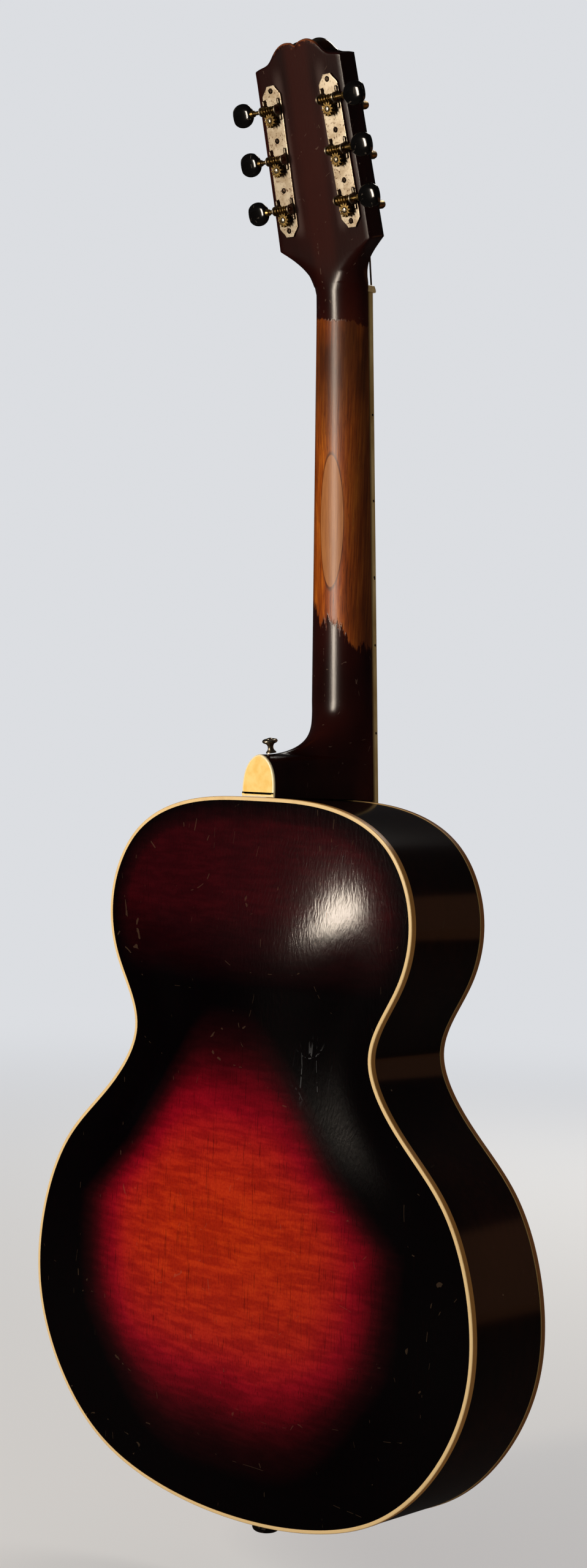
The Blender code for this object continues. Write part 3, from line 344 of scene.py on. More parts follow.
def domed_rise(t):
    """The back's arch: its slope grows over the first 39 % and then falls evenly to nothing at the ridge."""
    steps = np.linspace(0, 1, 401)
    slope = np.clip(steps / 0.39, 0, 1)
    slope = slope * slope * (3 - 2 * slope) * (1 - steps)
    total = np.concatenate([[0], np.cumsum((slope[1:] + slope[:-1]) / 2)])
    return np.interp(t, steps, total / total[-1])


def lying(flat, y):
    """Points at depths y for a flat outline on the body, given as x and the distance down from the body's
    top."""
    return spread(flat[..., 0], y, BODY_TOP_Z - flat[..., 1])


def plate_grid(loop, rim_y, arch, rings, rise, spine):
    """Points [ring, place round]: the edge at the binding, then the ledge loop L drawn in to the ridge S by
    L + (S - L) t while the height grows by arch * rise(t)."""
    outward = np.sign(rim_y)
    edge, base = inset(loop, 2.9), inset(loop, EDGE_LEDGE)
    ridge = np.stack([0 * base[:, 0], np.clip(base[:, 1], *spine)], 1)
    t = np.linspace(0, 1, rings)
    flat = np.concatenate([edge[None], base + (ridge - base) * t[:, None, None]])
    height = np.concatenate([[0], arch * rise(t)])
    face = lying(flat, rim_y + outward * height[:, None])
    return np.concatenate([face[::-1], face - [0, outward * PLATE_THICKNESS, 0]])


def rim_distance(grid):
    """How far each point of a grid stands in from the outline."""
    x, d = grid[..., 0].ravel(), BODY_TOP_Z - grid[..., 2].ravel()
    return np.min(np.hypot(x[:, None] - outline[None, ::3, 0], d[:, None] - outline[None, ::3, 1]), 1)


def back_glow(grid):
    """The sunburst's strength on the back, from 0 at the black rim to 1 in the orange middle: an egg in the
    lower bout, fading out by r = sqrt(u ** 4 + v ** 2) = 1 with u across and v along it, and a faint wine
    red over the upper bout. Holding the bright middle to the lower bout and leaving the upper bout dark is
    partly painted light: it paints the fall of the light over the back into the burst."""
    x, d = grid[..., 0].ravel(), BODY_TOP_Z - grid[..., 2].ravel()
    wide = np.interp(d, [150, 212, 243, 290, 368, 411, 460], [55, 90, 107, 152, 152, 132, 112])
    r = np.sqrt(((x - 6) / wide) ** 4 + ((d - 302) / 160) ** 2)
    egg = np.interp(r, [0, 0.3, 0.45, 0.56, 0.66, 0.77, 0.87, 1.0],
                    [1, 0.87, 0.75, 0.61, 0.45, 0.26, 0.11, 0])
    wine = 0.21 * np.clip((rim_distance(grid) - 5) / 14, 0, 1) * np.clip((128 - d) / 52, 0, 1)
    return np.maximum(egg, wine)


back_points = plate_grid(outline, BACK_RIM_Y, BACK_ARCH, 46, domed_rise, BACK_SPINE)
back = solid("back_plate_arched", back_points, ends=False, values={"glow": back_glow(back_points)})


def f_hole_cutters(side):
    """The slot follows a curved line with half width 1.2 + 2.9 sin(pi s) ** 1.5, and a round eye at each
    end."""
    line = curve_through([(66, 214), (68, 205), (76, 201), (83, 208), (84.5, 230), (83, 277), (81.5, 322),
                          (83, 345), (90, 352), (98, 349), (99, 341)], 5) * [side, 1]
    along = np.gradient(line, axis=0)
    along /= np.hypot(*along.T)[:, None]
    half_width = 1.2 + 2.9 * np.sin(np.pi * np.linspace(0, 1, len(line))) ** 1.5
    across = np.stack([-along[:, 1], along[:, 0]], 1) * half_width[:, None]
    outside, inside = -45, -5
    edges = [(line + across, outside), (line - across, outside), (line - across, inside),
             (line + across, inside)]
    cutters = [solid("f_hole_slot", np.stack([lying(edge, y) for edge, y in edges], 1))]
    turn = full_turn(32)
    for end, radius in ((0, 5.0), (-1, 6.5)):
        eye = line[end] + radius * np.column_stack([np.cos(turn), np.sin(turn)])
        cutters.append(solid("f_hole_eye", np.stack([lying(eye, y) for y in (outside, inside)])))
    return cutters


front_loop = curve_through(mirrored(HALF_OUTLINE), 8, closed=True)
front_points = plate_grid(front_loop, FRONT_RIM_Y, TOP_ARCH, 30, cosine_rise, TOP_SPINE)
front = carve(solid("top_plate_arched", front_points, ends=False), *f_hole_cutters(-1), *f_hole_cutters(1))
places = np.empty((len(front.data.vertices), 3))
front.data.vertices.foreach_get("co", places.ravel())
front_rim = front.data.attributes.new("rim", "FLOAT", "POINT").data
front_rim.foreach_set("value", rim_distance(places / MM).astype(np.float32))


def paint(red, green, blue):
    """A colour as seen on screen, 0 to 255, as the light values that nodes work in."""
    seen = np.array([red, green, blue]) / 255
    return (*np.where(seen <= 0.04045, seen / 12.92, ((seen + 0.055) / 1.055) ** 2.4), 1.0)


def levels(value, low, high, to_low=0.0, to_high=1.0):
    """A value eased from low..high to to_low..to_high, and held outside."""
    return field("ShaderNodeMapRange", {"interpolation_type": "SMOOTHSTEP"}, Value=value, From_Min=low,
                 From_Max=high, To_Min=to_low, To_Max=to_high)


def colours(value, *stops):
    """A colour ramp through stops of place, red, green and blue."""
    made = put("ShaderNodeValToRGB", Fac=value)
    while len(made.color_ramp.elements) < len(stops):
        made.color_ramp.elements.new(0.5)
    for element, (place, *colour) in zip(made.color_ramp.elements, stops):
        element.position, element.color = place, paint(*colour)
    return Field(made.outputs[0])


def mix(share, a, b, mode="MIX"):
    """Two colours mixed by a share."""
    return field("ShaderNodeMix", {"data_type": "RGBA", "blend_type": mode}, output=2, _0=share, _6=a, _7=b)


def stretched(vector, x, y, z):
    """The vector times its own factor on each axis."""
    return field("ShaderNodeVectorMath", {"operation": "MULTIPLY"}, _0=vector, _1=(x, y, z))


def noise(vector, scale, detail=2.0, rough=0.5):
    """Cloudy noise from 0 to 1. A scale for each axis makes it streaky."""
    if isinstance(scale, tuple):
        vector, scale = stretched(vector, *scale), 1.0
    return field("ShaderNodeTexNoise", Vector=vector, Scale=scale, Detail=detail, Roughness=rough)


def split(vector):
    """A vector's three numbers."""
    return [Field(part) for part in put("ShaderNodeSeparateXYZ", Vector=vector).outputs]


def stored(shader, name):
    """Numbers kept on the mesh's points."""
    return field("ShaderNodeAttribute", {"attribute_name": name}, shader.id_data, "Fac")


def tint(shader, tone):
    """Gives the shader its colour."""
    join(tone, shader.inputs["Base Color"])


def bump(shader, height, distance, strength):
    """Relief of a given depth in metres on the shader's normal."""
    join(field("ShaderNodeBump", Height=height, Distance=distance, Strength=strength),
         shader.inputs["Normal"])


def new_group(name, outputs, **inputs):
    """An empty node group that takes a Vector and numbers; returned with its inputs as fields, and its
    outputs."""
    made = bpy.data.node_groups.new(name, "ShaderNodeTree")
    made.interface.new_socket("Vector", in_out="INPUT", socket_type="NodeSocketVector")
    for key, value in inputs.items():
        made.interface.new_socket(key, in_out="INPUT", socket_type="NodeSocketFloat").default_value = value
    for key in outputs:
        made.interface.new_socket(key, in_out="OUTPUT", socket_type="NodeSocketFloat")
    taken = put("NodeGroupInput", tree=made).outputs
    return made, [Field(taken[key]) for key in ("Vector", *inputs)], put("NodeGroupOutput", tree=made).inputs


def use(group, vector, **numbers):
    """Places a node group in the vector's material. A single output comes alone, and more as a list."""
    made = put("ShaderNodeGroup", {"node_tree": group}, vector.socket.id_data, Vector=vector, **numbers)
    found = [Field(end) for end in made.outputs]
    return found if len(found) > 1 else found[0]


# Grain: fibres long in Z, with fine dark pores. Across and Along are marks per metre.
grain, (vector, across, along), give = new_group("long_grain", ["Fibre", "Pores"], Across=900.0, Along=14.0)
x, y, z = split(vector)
thin = field("ShaderNodeCombineXYZ", X=x * across, Y=y * across, Z=z * along)
join(noise(thin, 1.0, 4.0, 0.65), give["Fibre"])
join(levels(noise(thin, (2.6, 2.6, 5.0)), 0.60, 0.68), give["Pores"])

# Specks: small round chips and dust, each in its own cell; Share is how many cells have one.
specks, (vector, density, size, share), give = new_group("specks", ["Mask"], Density=60.0, Size=0.08,
                                                         Share=0.2)
cells = put("ShaderNodeTexVoronoi", Vector=vector, Scale=density).outputs
red, green, blue = [Field(end) for end in put("ShaderNodeSeparateColor", Color=Field(cells["Color"])).outputs]
near = calc("LESS_THAN", Field(cells["Distance"]), size * green)
join(near * calc("LESS_THAN", red, share), give["Mask"])

# Scratches: thin bent lines, where three stretched noises cross their middle value, kept only in patches.
scratches, (vector, scale, width, share), give = new_group(
    "scratches", ["Mask"], Scale=40.0, Width=0.006, Share=0.62)
lines = []
for number, stretch in enumerate(((1.0, 1.0, 0.12), (0.5, 0.5, 1.0), (1.6, 1.6, 0.5))):
    moved = field("ShaderNodeVectorMath", {"operation": "ADD"}, _0=vector,
                  _1=(0.3 * number, 0.1, 0.7 * number))
    wave = noise(stretched(moved, *stretch), scale * 0.35, 0.0)
    line = calc("LESS_THAN", calc("ABSOLUTE", wave - 0.5), width)
    lines.append(line * calc("GREATER_THAN", noise(moved, scale * 2.4, 1.0), share))
join(calc("MAXIMUM", calc("MAXIMUM", lines[0], lines[1]), lines[2]), give["Mask"])

# Ripples: old lacquer sinks along the grain, in fine wandering ridges that break up its gloss.
ripples, (vector, ridges, length), give = new_group("lacquer_ripples", ["Height"], Ridges=420.0, Length=34.0)
x, y, z = split(vector)
x = x + noise(vector, 30.0) * 0.012
ridge = field("ShaderNodeCombineXYZ", X=x * ridges, Y=y * ridges, Z=z * length)
join(noise(ridge, 1.0, 3.0, 0.55), give["Height"])

maple_burst, shader = new_shader("maple_red_burst", Roughness=0.15)
here = spot(shader)
# The burst's strength also carries painted light: its bright middle is kept to the lower bout, the upper bout
# darker.
glow = stored(shader, "glow")
glow = glow + (noise(here, 26.0, 3.0) * 0.12 - 0.06) * levels(glow, 0.02, 0.4)
burst = colours(glow, (0.0, 2, 0, 1), (0.15, 30, 2, 5), (0.30, 60, 2, 10), (0.45, 99, 2, 16),
                (0.60, 130, 5, 22), (0.72, 150, 18, 20), (0.86, 164, 33, 14), (1.0, 173, 43, 8))
flame = levels(noise(here, (46.0, 46.0, 250.0), 2.0, 0.55), 0.34, 0.70, 0.80, 1.16)
flame = flame * levels(noise(here, (900.0, 900.0, 520.0)), 0.3, 0.7, 0.9, 1.08)
curl = field("ShaderNodeCombineColor", Red=flame, Green=calc("POWER", flame, 2.2), Blue=flame)
fibre, pores = use(grain, here, Across=700.0, Along=9.0)
wood = mix(pores * 0.5, mix(1.0, burst, curl, "MULTIPLY"), paint(12, 0, 1))
marks = use(specks, here, Density=95.0, Size=0.045, Share=0.10)
lines = use(scratches, here, Scale=60.0, Width=0.0022, Share=0.64)
wood = mix(calc("MAXIMUM", marks * 0.8, lines * 0.14), wood, paint(128, 104, 80))
waist = field("ShaderNodeMapping", {"vector_type": "TEXTURE"}, Vector=here, Location=(-0.064, 0.068, -0.532),
              Scale=(0.017, 0.03, 0.027))
waist = field("ShaderNodeVectorMath", {"operation": "LENGTH"}, output="Value", _0=waist)
# Grey-blue scuffs at the bass side of the waist: partly scuffed lacquer, partly a painted sheen of reflected
# light.
scuffs_and_sheen = use(scratches, stretched(here, 1.6, 1.6, 0.7), Scale=150.0, Width=0.012, Share=0.5)
tint(shader, mix(scuffs_and_sheen * levels(waist, 1.0, 0.3) * 0.4, wood, paint(104, 106, 108)))
bump(shader, use(ripples, here, Ridges=560.0, Length=150.0), 0.00011, 0.8)
fit(back, "guitar", "flamed_maple", maple_burst, "back_plate")

spruce_burst, shader = new_shader("spruce_brown_burst", Roughness=0.26)
here = spot(shader)
rim = stored(shader, "rim") - 8.0 + noise(here, 14.0) * 16.0
burst = colours(levels(rim, 12.0, 88.0), (0.0, 8, 2, 1), (0.25, 60, 12, 6), (0.55, 150, 46, 14),
                (1.0, 212, 112, 36))
fibre, pores = use(grain, here, Across=620.0, Along=4.0)
wood = mix(levels(fibre, 0.42, 0.62, 0.0, 0.42), burst, mix(0.5, burst, paint(24, 6, 2)))
marks = use(specks, here, Density=80.0, Size=0.06, Share=0.14)
tint(shader, mix(marks, wood, paint(150, 120, 80)))
bump(shader, use(ripples, here), 0.00010, 0.6)
fit(front, "guitar", "spruce_front", spruce_burst, "top_plate")

# The ribs: two strips of bent maple, dark brown under gloss lacquer, meeting at the tail. Inside, spruce
# linings glue them to the plates, with a block at each end and two tone bars under the top.
RIB_THICKNESS = 2.2
RIB_FRONT_Y, RIB_BACK_Y = -8.0, 58.2
RIB_NECK_X, RIB_SEAM_X = 13.5, 0.15


def rib_strip(name, side):
    """A band [place along, corner]: the outline's half moved in by 0.3 and by 0.3 + the thickness."""
    walls = inset(outline, [0.3, 0.3 + RIB_THICKNESS])[:len(outline) // 2 + 1]
    keep = (walls[:, 0, 0] > RIB_NECK_X) | (walls[:, 0, 1] > 400)
    first = np.array([[RIB_NECK_X, np.interp(RIB_NECK_X, walls[:8, k, 0], walls[:8, k, 1])] for k in (0, 1)])
    walls = np.concatenate([first[None], walls[keep]])
    x = side * np.maximum(walls[..., 0], RIB_SEAM_X)
    z = BODY_TOP_Z - walls[..., 1]
    corners = [(0, RIB_FRONT_Y), (0, RIB_BACK_Y), (1, RIB_BACK_Y), (1, RIB_FRONT_Y)]
    return solid(name, np.stack([spread(x[:, k], y, z[:, k]) for k, y in corners], 1))


rib_maple, shader = new_shader("rib_dark_maple", Roughness=0.15)
here = spot(shader)
fibre, pores = use(grain, here, Across=260.0, Along=40.0)
wood = colours(noise(here, 9.0, 3.0) * 0.6 + fibre * 0.4, (0.3, 5, 1, 1), (0.55, 20, 6, 3), (0.75, 34, 11, 5))
marks = use(specks, here, Density=60.0, Size=0.05, Share=0.12)
lines = use(scratches, here, Scale=60.0, Width=0.002, Share=0.66)
tint(shader, mix(calc("MAXIMUM", marks, lines * 0.15), wood, paint(88, 72, 58)))
bump(shader, use(ripples, stretched(here, 0.2, 1.0, 1.0), Ridges=260.0, Length=50.0), 0.00006, 0.5)
for label, side in (("bass", -1), ("treble", 1)):
    fit(rib_strip("rib_band_" + label, side), "guitar", "dark_maple", rib_maple, "rib_" + label)


def bare_wood(name, pale, dark, across, along):
    """Unfinished wood: fibres between two colours with a dull surface."""
    material, shader = new_shader(name, Roughness=0.75, Specular_IOR_Level=0.25)
    fibre, pores = use(grain, spot(shader), Across=across, Along=along)
    tint(shader, mix(levels(fibre, 0.35, 0.65), pale, dark))
    bump(shader, fibre, 0.0001, 0.5)
    return material


def finish_solids(finish, *names):
    """Gives a finish to CAD solids that are good as they are."""
    for name in names:
        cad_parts[name].data.materials.clear()
        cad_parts[name].data.materials.append(finish)


inner_spruce = bare_wood("inner_spruce", paint(206, 170, 116), paint(160, 118, 70), 500.0, 8.0)
inner_mahogany = bare_wood("inner_mahogany", paint(140, 82, 50), paint(96, 50, 30), 700.0, 30.0)
finish_solids(inner_spruce, "front_lining_bass", "front_lining_treble", "back_lining_bass",
              "back_lining_treble", "tone_bar_bass", "tone_bar_treble")
finish_solids(inner_mahogany, "neck_block", "tail_block")

# The body's bindings: cream celluloid strips let into the plates' edges and scraped round. Age and lacquer
# have turned them gold, darker on the sides, where the stain was never scraped clean.
BINDING_WIDTH, BINDING_HEIGHT = 2.6, 4.3


def binding_ring(name, rim_y, rounding):
    """A profile carried round the outline: a rectangle whose outer corner at the rim is a quarter circle."""
    outward = np.sign(rim_y)
    turn = np.linspace(0, np.pi / 2, 6)
    away = np.concatenate([rounding * (1 - np.sin(turn)), [0, BINDING_WIDTH, BINDING_WIDTH]])[::-1]
    down = np.concatenate([rounding * (1 - np.cos(turn)), [BINDING_HEIGHT, BINDING_HEIGHT, 0]])[::-1]
    flat = inset(outline, away)
    grid = lying(flat, rim_y - outward * down)
    return solid(name, grid, along=True, sharp=50)


def celluloid(name, face, side):
    """Old cream celluloid: the face, which looks along Y, is scraped pale, and the sides keep a brown
    stain."""
    material, shader = new_shader(name, Roughness=0.3)
    here = spot(shader)
    normal = field("ShaderNodeNewGeometry", tree=shader.id_data, output="Normal")
    facing = calc("ABSOLUTE", split(normal)[1])
    blot = noise(here, 45.0, 4.0, 0.6)
    tone = mix(levels(facing + blot * 0.3 - 0.15, 0.35, 0.8), side, face)
    tone = mix(levels(blot, 0.5, 0.75, 0.0, 0.45), tone, mix(0.5, side, tone))
    nicks = use(specks, here, Density=120.0, Size=0.12, Share=0.10)
    tint(shader, mix(nicks, tone, paint(60, 30, 12)))
    bump(shader, blot, 0.0002, 0.3)
    return material


back_celluloid = celluloid("celluloid_back", paint(236, 206, 150), paint(168, 116, 52))
front_celluloid = celluloid("celluloid_front", paint(214, 176, 112), paint(128, 80, 34))
fit(binding_ring("binding_back", BACK_RIM_Y, 1.0), "guitar", "cream_plastic", back_celluloid, "back_binding")
fit(binding_ring("binding_front", FRONT_RIM_Y, 0.8), "guitar", "cream_plastic", front_celluloid,
    "top_binding")

# The neck: one piece of mahogany from the heel to the crest of the headstock. Its dark finish is worn
# through to bare wood where the hand slides, with a smooth pale patch in the middle and ragged edges. The
# bare wood is painted darker toward both sides of the neck, a painted shade where it turns from the light,
# and darker toward the nut.
NECK_ANGLE, HEAD_ANGLE = np.radians([3.49, 16.76])
GLUE_PLANE_Y, HEAD_BACK_Y = -5.5, 8.76
HEEL_START_Z, HEEL_TIP_Z, HEEL_END_Z = -283.0, -322.5, -351.0
HEEL_BACK_Y, HEEL_HALF_AT_CAP = 61.0, 14.7
SCALE_LENGTH = 629.0


def board_half(z):
    """Half the neck's width at a height: 21.6 at the nut, growing evenly to 26.8 at the 14th fret."""
    return (43.2 + 10.4 * -z / (SCALE_LENGTH * (1 - 2 ** (-14 / 12)))) / 2


def heel_cap_half(z):
    """Half width of the heel cap's pointed arch: 14.7 (1 - s ** 3) ** 0.6, s from the rib to the tip."""
    s = np.clip((z - HEEL_END_Z) / (HEEL_TIP_Z - HEEL_END_Z), 0, 1)
    return HEEL_HALF_AT_CAP * (1 - s**3) ** 0.6


HEAD_SIDE = curve_through([(0.0, 21.4), (6.0, 21.9), (12.0, 23.2), (17.0, 25.7), (21.0, 29.0), (26.0, 34.6),
                           (31.5, 41.6)], 8)
CREST = curve_through([(0.0, 165.4), (1.0, 165.9), (2.6, 167.4), (5.0, 168.1), (8.5, 168.6), (12.0, 168.2),
                       (16.0, 166.6), (21.0, 162.6), (24.0, 159.4), (27.0, 157.2), (30.0, 156.2),
                       (34.5, 155.4), (39.0, 154.2)], 5)
CREST_ROUND = 1.3
HEAD_ROWS_END = 139.0


def neck_grid():
    """Sections [row, column] from the heel to the crest. A section is |x / half| ** n + v ** n = 1, with v
    the depth from 0 at the glue plane to 1 at the back; n grows from 2 in the hand to 40 on the slab of the
    headstock. In the heel x tapers instead from half to the cap by v ** 0.9, and on the head the rows lean
    with its face. Eight columns climb the side to where x / half = v, and the others cross the back to the
    middle."""
    heel_bend = HEEL_START_Z + (HEEL_TIP_Z - HEEL_START_Z) * np.cos(np.linspace(0, np.pi / 2, 26))[1:]
    z = np.concatenate([np.linspace(HEEL_END_Z, HEEL_TIP_Z, 14), heel_bend, np.linspace(-278, -18, 40),
                        np.linspace(-15, 0, 8), np.linspace(0.6, 5.0, 6), [5.4], np.linspace(6.2, 33, 34),
                        np.linspace(40, HEAD_ROWS_END, 10)])
    s = np.maximum(z, 0) / np.cos(HEAD_ANGLE)
    power = np.interp(s, [0, 6, 13, 19, 25, 29, 32], np.log([2, 2.3, 3.0, 5.0, 9.0, 20.0, 40.0]))
    power = np.exp(power)[:, None]
    half = np.where(z > 0, np.interp(s, HEAD_SIDE[:, 0], HEAD_SIDE[:, 1]), board_half(z) - 0.2)
    half = np.where(s > 31.5, np.interp(s, [31.5, 95, 154], [41.6, 40.2, 39.0]), half)[:, None]
    glue = GLUE_PLANE_Y + z * np.tan(NECK_ANGLE)
    depth = 16.6 + 2.9 * np.clip(z / HEEL_START_Z, 0, 1)
    u = np.clip((HEEL_START_Z - z) / (HEEL_START_Z - HEEL_TIP_Z), 0, 1)
    depth = depth + (HEEL_BACK_Y - glue - depth) * (1 - np.sqrt(1 - u * u))
    slope = np.tan(HEAD_ANGLE)
    gap = (HEAD_BACK_Y + slope * z - (glue + 16.6)) / 2.4
    back_y = glue + depth + 2.4 * np.logaddexp(0, gap)
    lean = np.clip((z - 2) / 26, 0, 1) * slope
    front = np.where(z > 5.2, (-5.443 + slope * (z + lean * back_y)) / (1 + slope * lean), glue)
    corner = 0.5 ** (1 / power)
    climb, cross = corner * np.linspace(0, 1, 9)[:-1], corner * np.linspace(1, 0, 21)
    v = np.concatenate([climb, (1 - cross**power) ** (1 / power)], 1)
    round_x = half * np.concatenate([(1 - climb**power) ** (1 / power), cross], 1)
    end_half = np.where(z < HEEL_TIP_Z, np.maximum(heel_cap_half(z), 0.3), 0.3)[:, None]
    heel = (u ** 1.5)[:, None]
    oval = round_x + end_half * v * np.clip(4 * u, 0, 1)[:, None]
    taper = half + (end_half - half) * v ** 0.9
    x = oval * (1 - heel) + taper * heel
    y = front[:, None] + (back_y - front)[:, None] * v
    rows = spread(x, y, z[:, None] + (back_y[:, None] - y) * lean[:, None])
    return np.concatenate([rows, (rows * [-1, 1, 1])[:, ::-1]], 1)


def crest_rows(last):
    """The headstock's end: each column climbs to the crest's height at its x, and the last rows turn in by a
    quarter circle, so that the end is rounded over."""
    along = np.array([0, np.sin(HEAD_ANGLE), np.cos(HEAD_ANGLE)])
    out = np.array([0, np.cos(HEAD_ANGLE), -np.sin(HEAD_ANGLE)])
    reach = np.interp(np.abs(last[:, 0]), CREST[:, 0], CREST[:, 1]) - HEAD_ROWS_END / np.cos(HEAD_ANGLE)
    straight = reach - CREST_ROUND
    depth = (last - [0, HEAD_BACK_Y, 0]) @ out
    from_middle = depth - (depth.max() + depth.min()) / 2
    made = [last + along * (straight * share)[:, None] for share in np.linspace(0.15, 1, 7)]
    for turn in np.linspace(0, np.pi / 2, 6)[1:]:
        drawn_in = 2 * CREST_ROUND * (1 - np.cos(turn)) / np.ptp(depth)
        climbed = last + along * (straight + CREST_ROUND * np.sin(turn))[:, None]
        made.append(climbed - out * (from_middle * drawn_in)[:, None])
    return np.array(made)


body_rows = neck_grid()
neck_points = np.concatenate([body_rows, crest_rows(body_rows[-1])])
row_wear = np.zeros(len(neck_points))
row_wear[-8:] = [0.15, 0.4, 0.7, 1, 1, 1, 1, 1]
neck = solid("neck_and_head", neck_points, values={"crest": np.repeat(row_wear, neck_points.shape[1])})


def tongue_grid():
    """The neck's tongue over the top plate: narrower than the board, from its glue plane to the arch."""
    z = np.linspace(HEEL_END_Z, BODY_TOP_Z - 84, 8)
    front = GLUE_PLANE_Y + z * np.tan(NECK_ANGLE) + 0.4
    d = BODY_TOP_Z - np.minimum(z, BODY_TOP_Z)
    rise = np.interp(d, [0, 10, 16, 40, 60, 84, 105], [0, 0, 0.3, 5.0, 9.6, 14.4, 16.0])
    back = FRONT_RIM_Y - rise - 0.7
    half = board_half(z) - 2.5
    corners = [(1, front, 0), (1, back, 2), (-1, back, 2), (-1, front, 0)]
    return np.stack([spread(sign * (half - cut), y, z) for sign, y, cut in corners], 1)


def tilted(points, angle, origin):
    """Points turned about X by an angle in radians, then moved to an origin."""
    x, y, z = np.moveaxis(np.asarray(points, float), -1, 0)
    c, s = np.cos(angle), np.sin(angle)
    return spread(x, y * c - z * s, y * s + z * c) + origin


def on_head(points):
    """From the headstock's own axes, with y = 0 its back face and z up it, to the guitar's."""
    return tilted(points, -HEAD_ANGLE, (0, HEAD_BACK_Y, 0))


def on_neck(points):
    """From the fingerboard's own axes, with y = 0 its glue face, to the guitar's."""
    return tilted(points, -NECK_ANGLE, (0, GLUE_PLANE_Y, 0))


def rod_grid(start, end, radii, sides=24, at=None):
    """Circles of given radii spread evenly from start to end, or at given shares of the way."""
    start, end = np.array(start, float), np.array(end, float)
    along = (end - start) / np.linalg.norm(end - start)
    across = np.cross(along, [0.31, 0.17, 0.93])
    across /= np.linalg.norm(across)
    turn = full_turn(sides)[:, None]
    circle = np.cos(turn) * across + np.sin(turn) * np.cross(along, across)
    share = np.linspace(0, 1, len(radii)) if at is None else np.array(at)
    return start + (end - start) * share[:, None, None] + circle * np.array(radii)[:, None, None]


MACHINE_LEAN = 0.0275
ROD_POCKET = (-4.4, -14, -2), (4.4, 9.2, 30)
ROD_CHANNEL = (-3.2, -1, -418), (3.2, 8.5, 0)
post_places = [(side, number, side * (28.3 - MACHINE_LEAN * (s - 52.8)), s) for side in (-1, 1)
               for number, s in ((1, 52.8), (2, 86.5), (3, 120.0))]


def box_cutter(low, high):
    """A box on the fingerboard's axes: its two square ends, from low to high along y."""
    (x0, y0, z0), (x1, y1, z1) = low, high
    ends = [[(x0, y, z0), (x1, y, z0), (x1, y, z1), (x0, y, z1)] for y in (y0, y1)]
    return solid("box_cutter", on_neck(ends))


def post_cutters():
    """A round bar through the head for each post."""
    return [solid("post_cutter", on_head(rod_grid((x, -17, s), (x, 3, s), [3.5, 3.5])))
            for _, _, x, s in post_places]


carve(neck, box_cutter(*ROD_POCKET), box_cutter(*ROD_CHANNEL), *post_cutters())
tenon = np.array([[(-w, -4, z), (w, -4, z), (w, 44, z), (-w, 44, z)]
                  for w, z in ((9.5, -351.0), (11.5, -369.6))])
tongue = carve(solid("neck_tongue_and_tenon", tongue_grid(), tenon), box_cutter(*ROD_CHANNEL))

worn_neck, shader = new_shader("worn_mahogany", Specular_IOR_Level=0.42)
here = spot(shader)
x, y, z = split(here)
off_middle = calc("ABSOLUTE", x)
fibre, pores = use(grain, here, Across=850.0, Along=16.0)
ragged = noise(here, (480.0, 480.0, 60.0), 3.0, 0.7) * 0.022 - 0.026
ragged = ragged + noise(here, (60.0, 60.0, 30.0), 1.0) * 0.03
bare = levels(ragged * 0.35 + x * 0.16 - z - 0.0195, -0.0006, 0.0012)
bare = bare * levels(ragged + z - x * 0.8 + 0.2295, -0.001, 0.003)
lacquer = colours(noise(here, (14.0, 14.0, 9.0), 4.0), (0.3, 22, 5, 4), (0.5, 38, 9, 6), (0.7, 58, 20, 10))
wood = colours(fibre * 0.65 + noise(here, (90.0, 90.0, 11.0), 3.0) * 0.4,
               (0.34, 84, 31, 2), (0.50, 146, 66, 6), (0.66, 186, 102, 20))
grime = levels(noise(here, (40.0, 40.0, 12.0), 3.0, 0.6), 0.42, 0.62)
upper = levels(z, -0.135, -0.03)
wood = mix(grime * (upper * 0.55 + 0.25), wood, paint(66, 34, 16))
# Painted shade: the bare wood darkens toward both sides of the neck, where it turns away from the light; it
# also darkens toward the nut.
shaded_sides_and_dark_top = calc("MAXIMUM", levels(off_middle, 0.010, 0.022), upper * 0.75)
wood = mix(shaded_sides_and_dark_top * 0.7, wood, paint(46, 17, 3))
wood = mix(pores * 0.55, wood, paint(50, 22, 8))
patch_x, patch_z = (x + 0.0028) / 0.0096, (z + 0.1585) / 0.0455
patch_r = calc("SQRT", patch_x * patch_x + patch_z * patch_z)
patch = levels(patch_r, 1.015, 0.985)
pale = mix(levels(fibre, 0.35, 0.65, 0.0, 0.6), paint(168, 108, 58), paint(138, 82, 40))
wood = mix(patch, wood, pale)
ring = levels(patch_r, 0.99, 1.02) * levels(patch_r, 1.10, 1.02)
tone = mix(bare, lacquer, mix(ring * 0.7, wood, paint(52, 24, 10)))
strip = levels(off_middle, 0.014, 0.006) * levels(z, 0.0, 0.03)
tone = mix(strip * 0.7, tone, paint(50, 14, 8))
haze = levels(calc("ABSOLUTE", off_middle - 0.0195), 0.006, 0.0005)
haze = haze * levels(z, 0.035, 0.045) * levels(z, 0.150, 0.135)
tone = mix(haze * 0.4, tone, paint(88, 72, 68))
marks = use(specks, here, Density=95.0, Size=0.08, Share=0.14)
lines = use(scratches, here, Scale=90.0, Width=0.003, Share=0.64)
tone = mix(calc("MAXIMUM", marks, lines * 0.3) * (1.0 - bare * 0.8), tone, paint(112, 92, 78))
crest = stored(shader, "crest") - 1.15 + noise(here, 260.0, 3.0, 0.6) * 1.4
crest = levels(crest, 0.15, 0.4) * levels(off_middle, 0.022, 0.014)
tint(shader, mix(crest, tone, paint(122, 66, 36)))
join(patch * 0.04 + bare * 0.11 + 0.21, shader.inputs["Roughness"])
bump(shader, fibre * 0.3 - bare * 0.8, 0.00012, 0.8)
fit(neck, "guitar", "mahogany", worn_neck, "neck")
fit(tongue, "guitar", "mahogany", worn_neck)

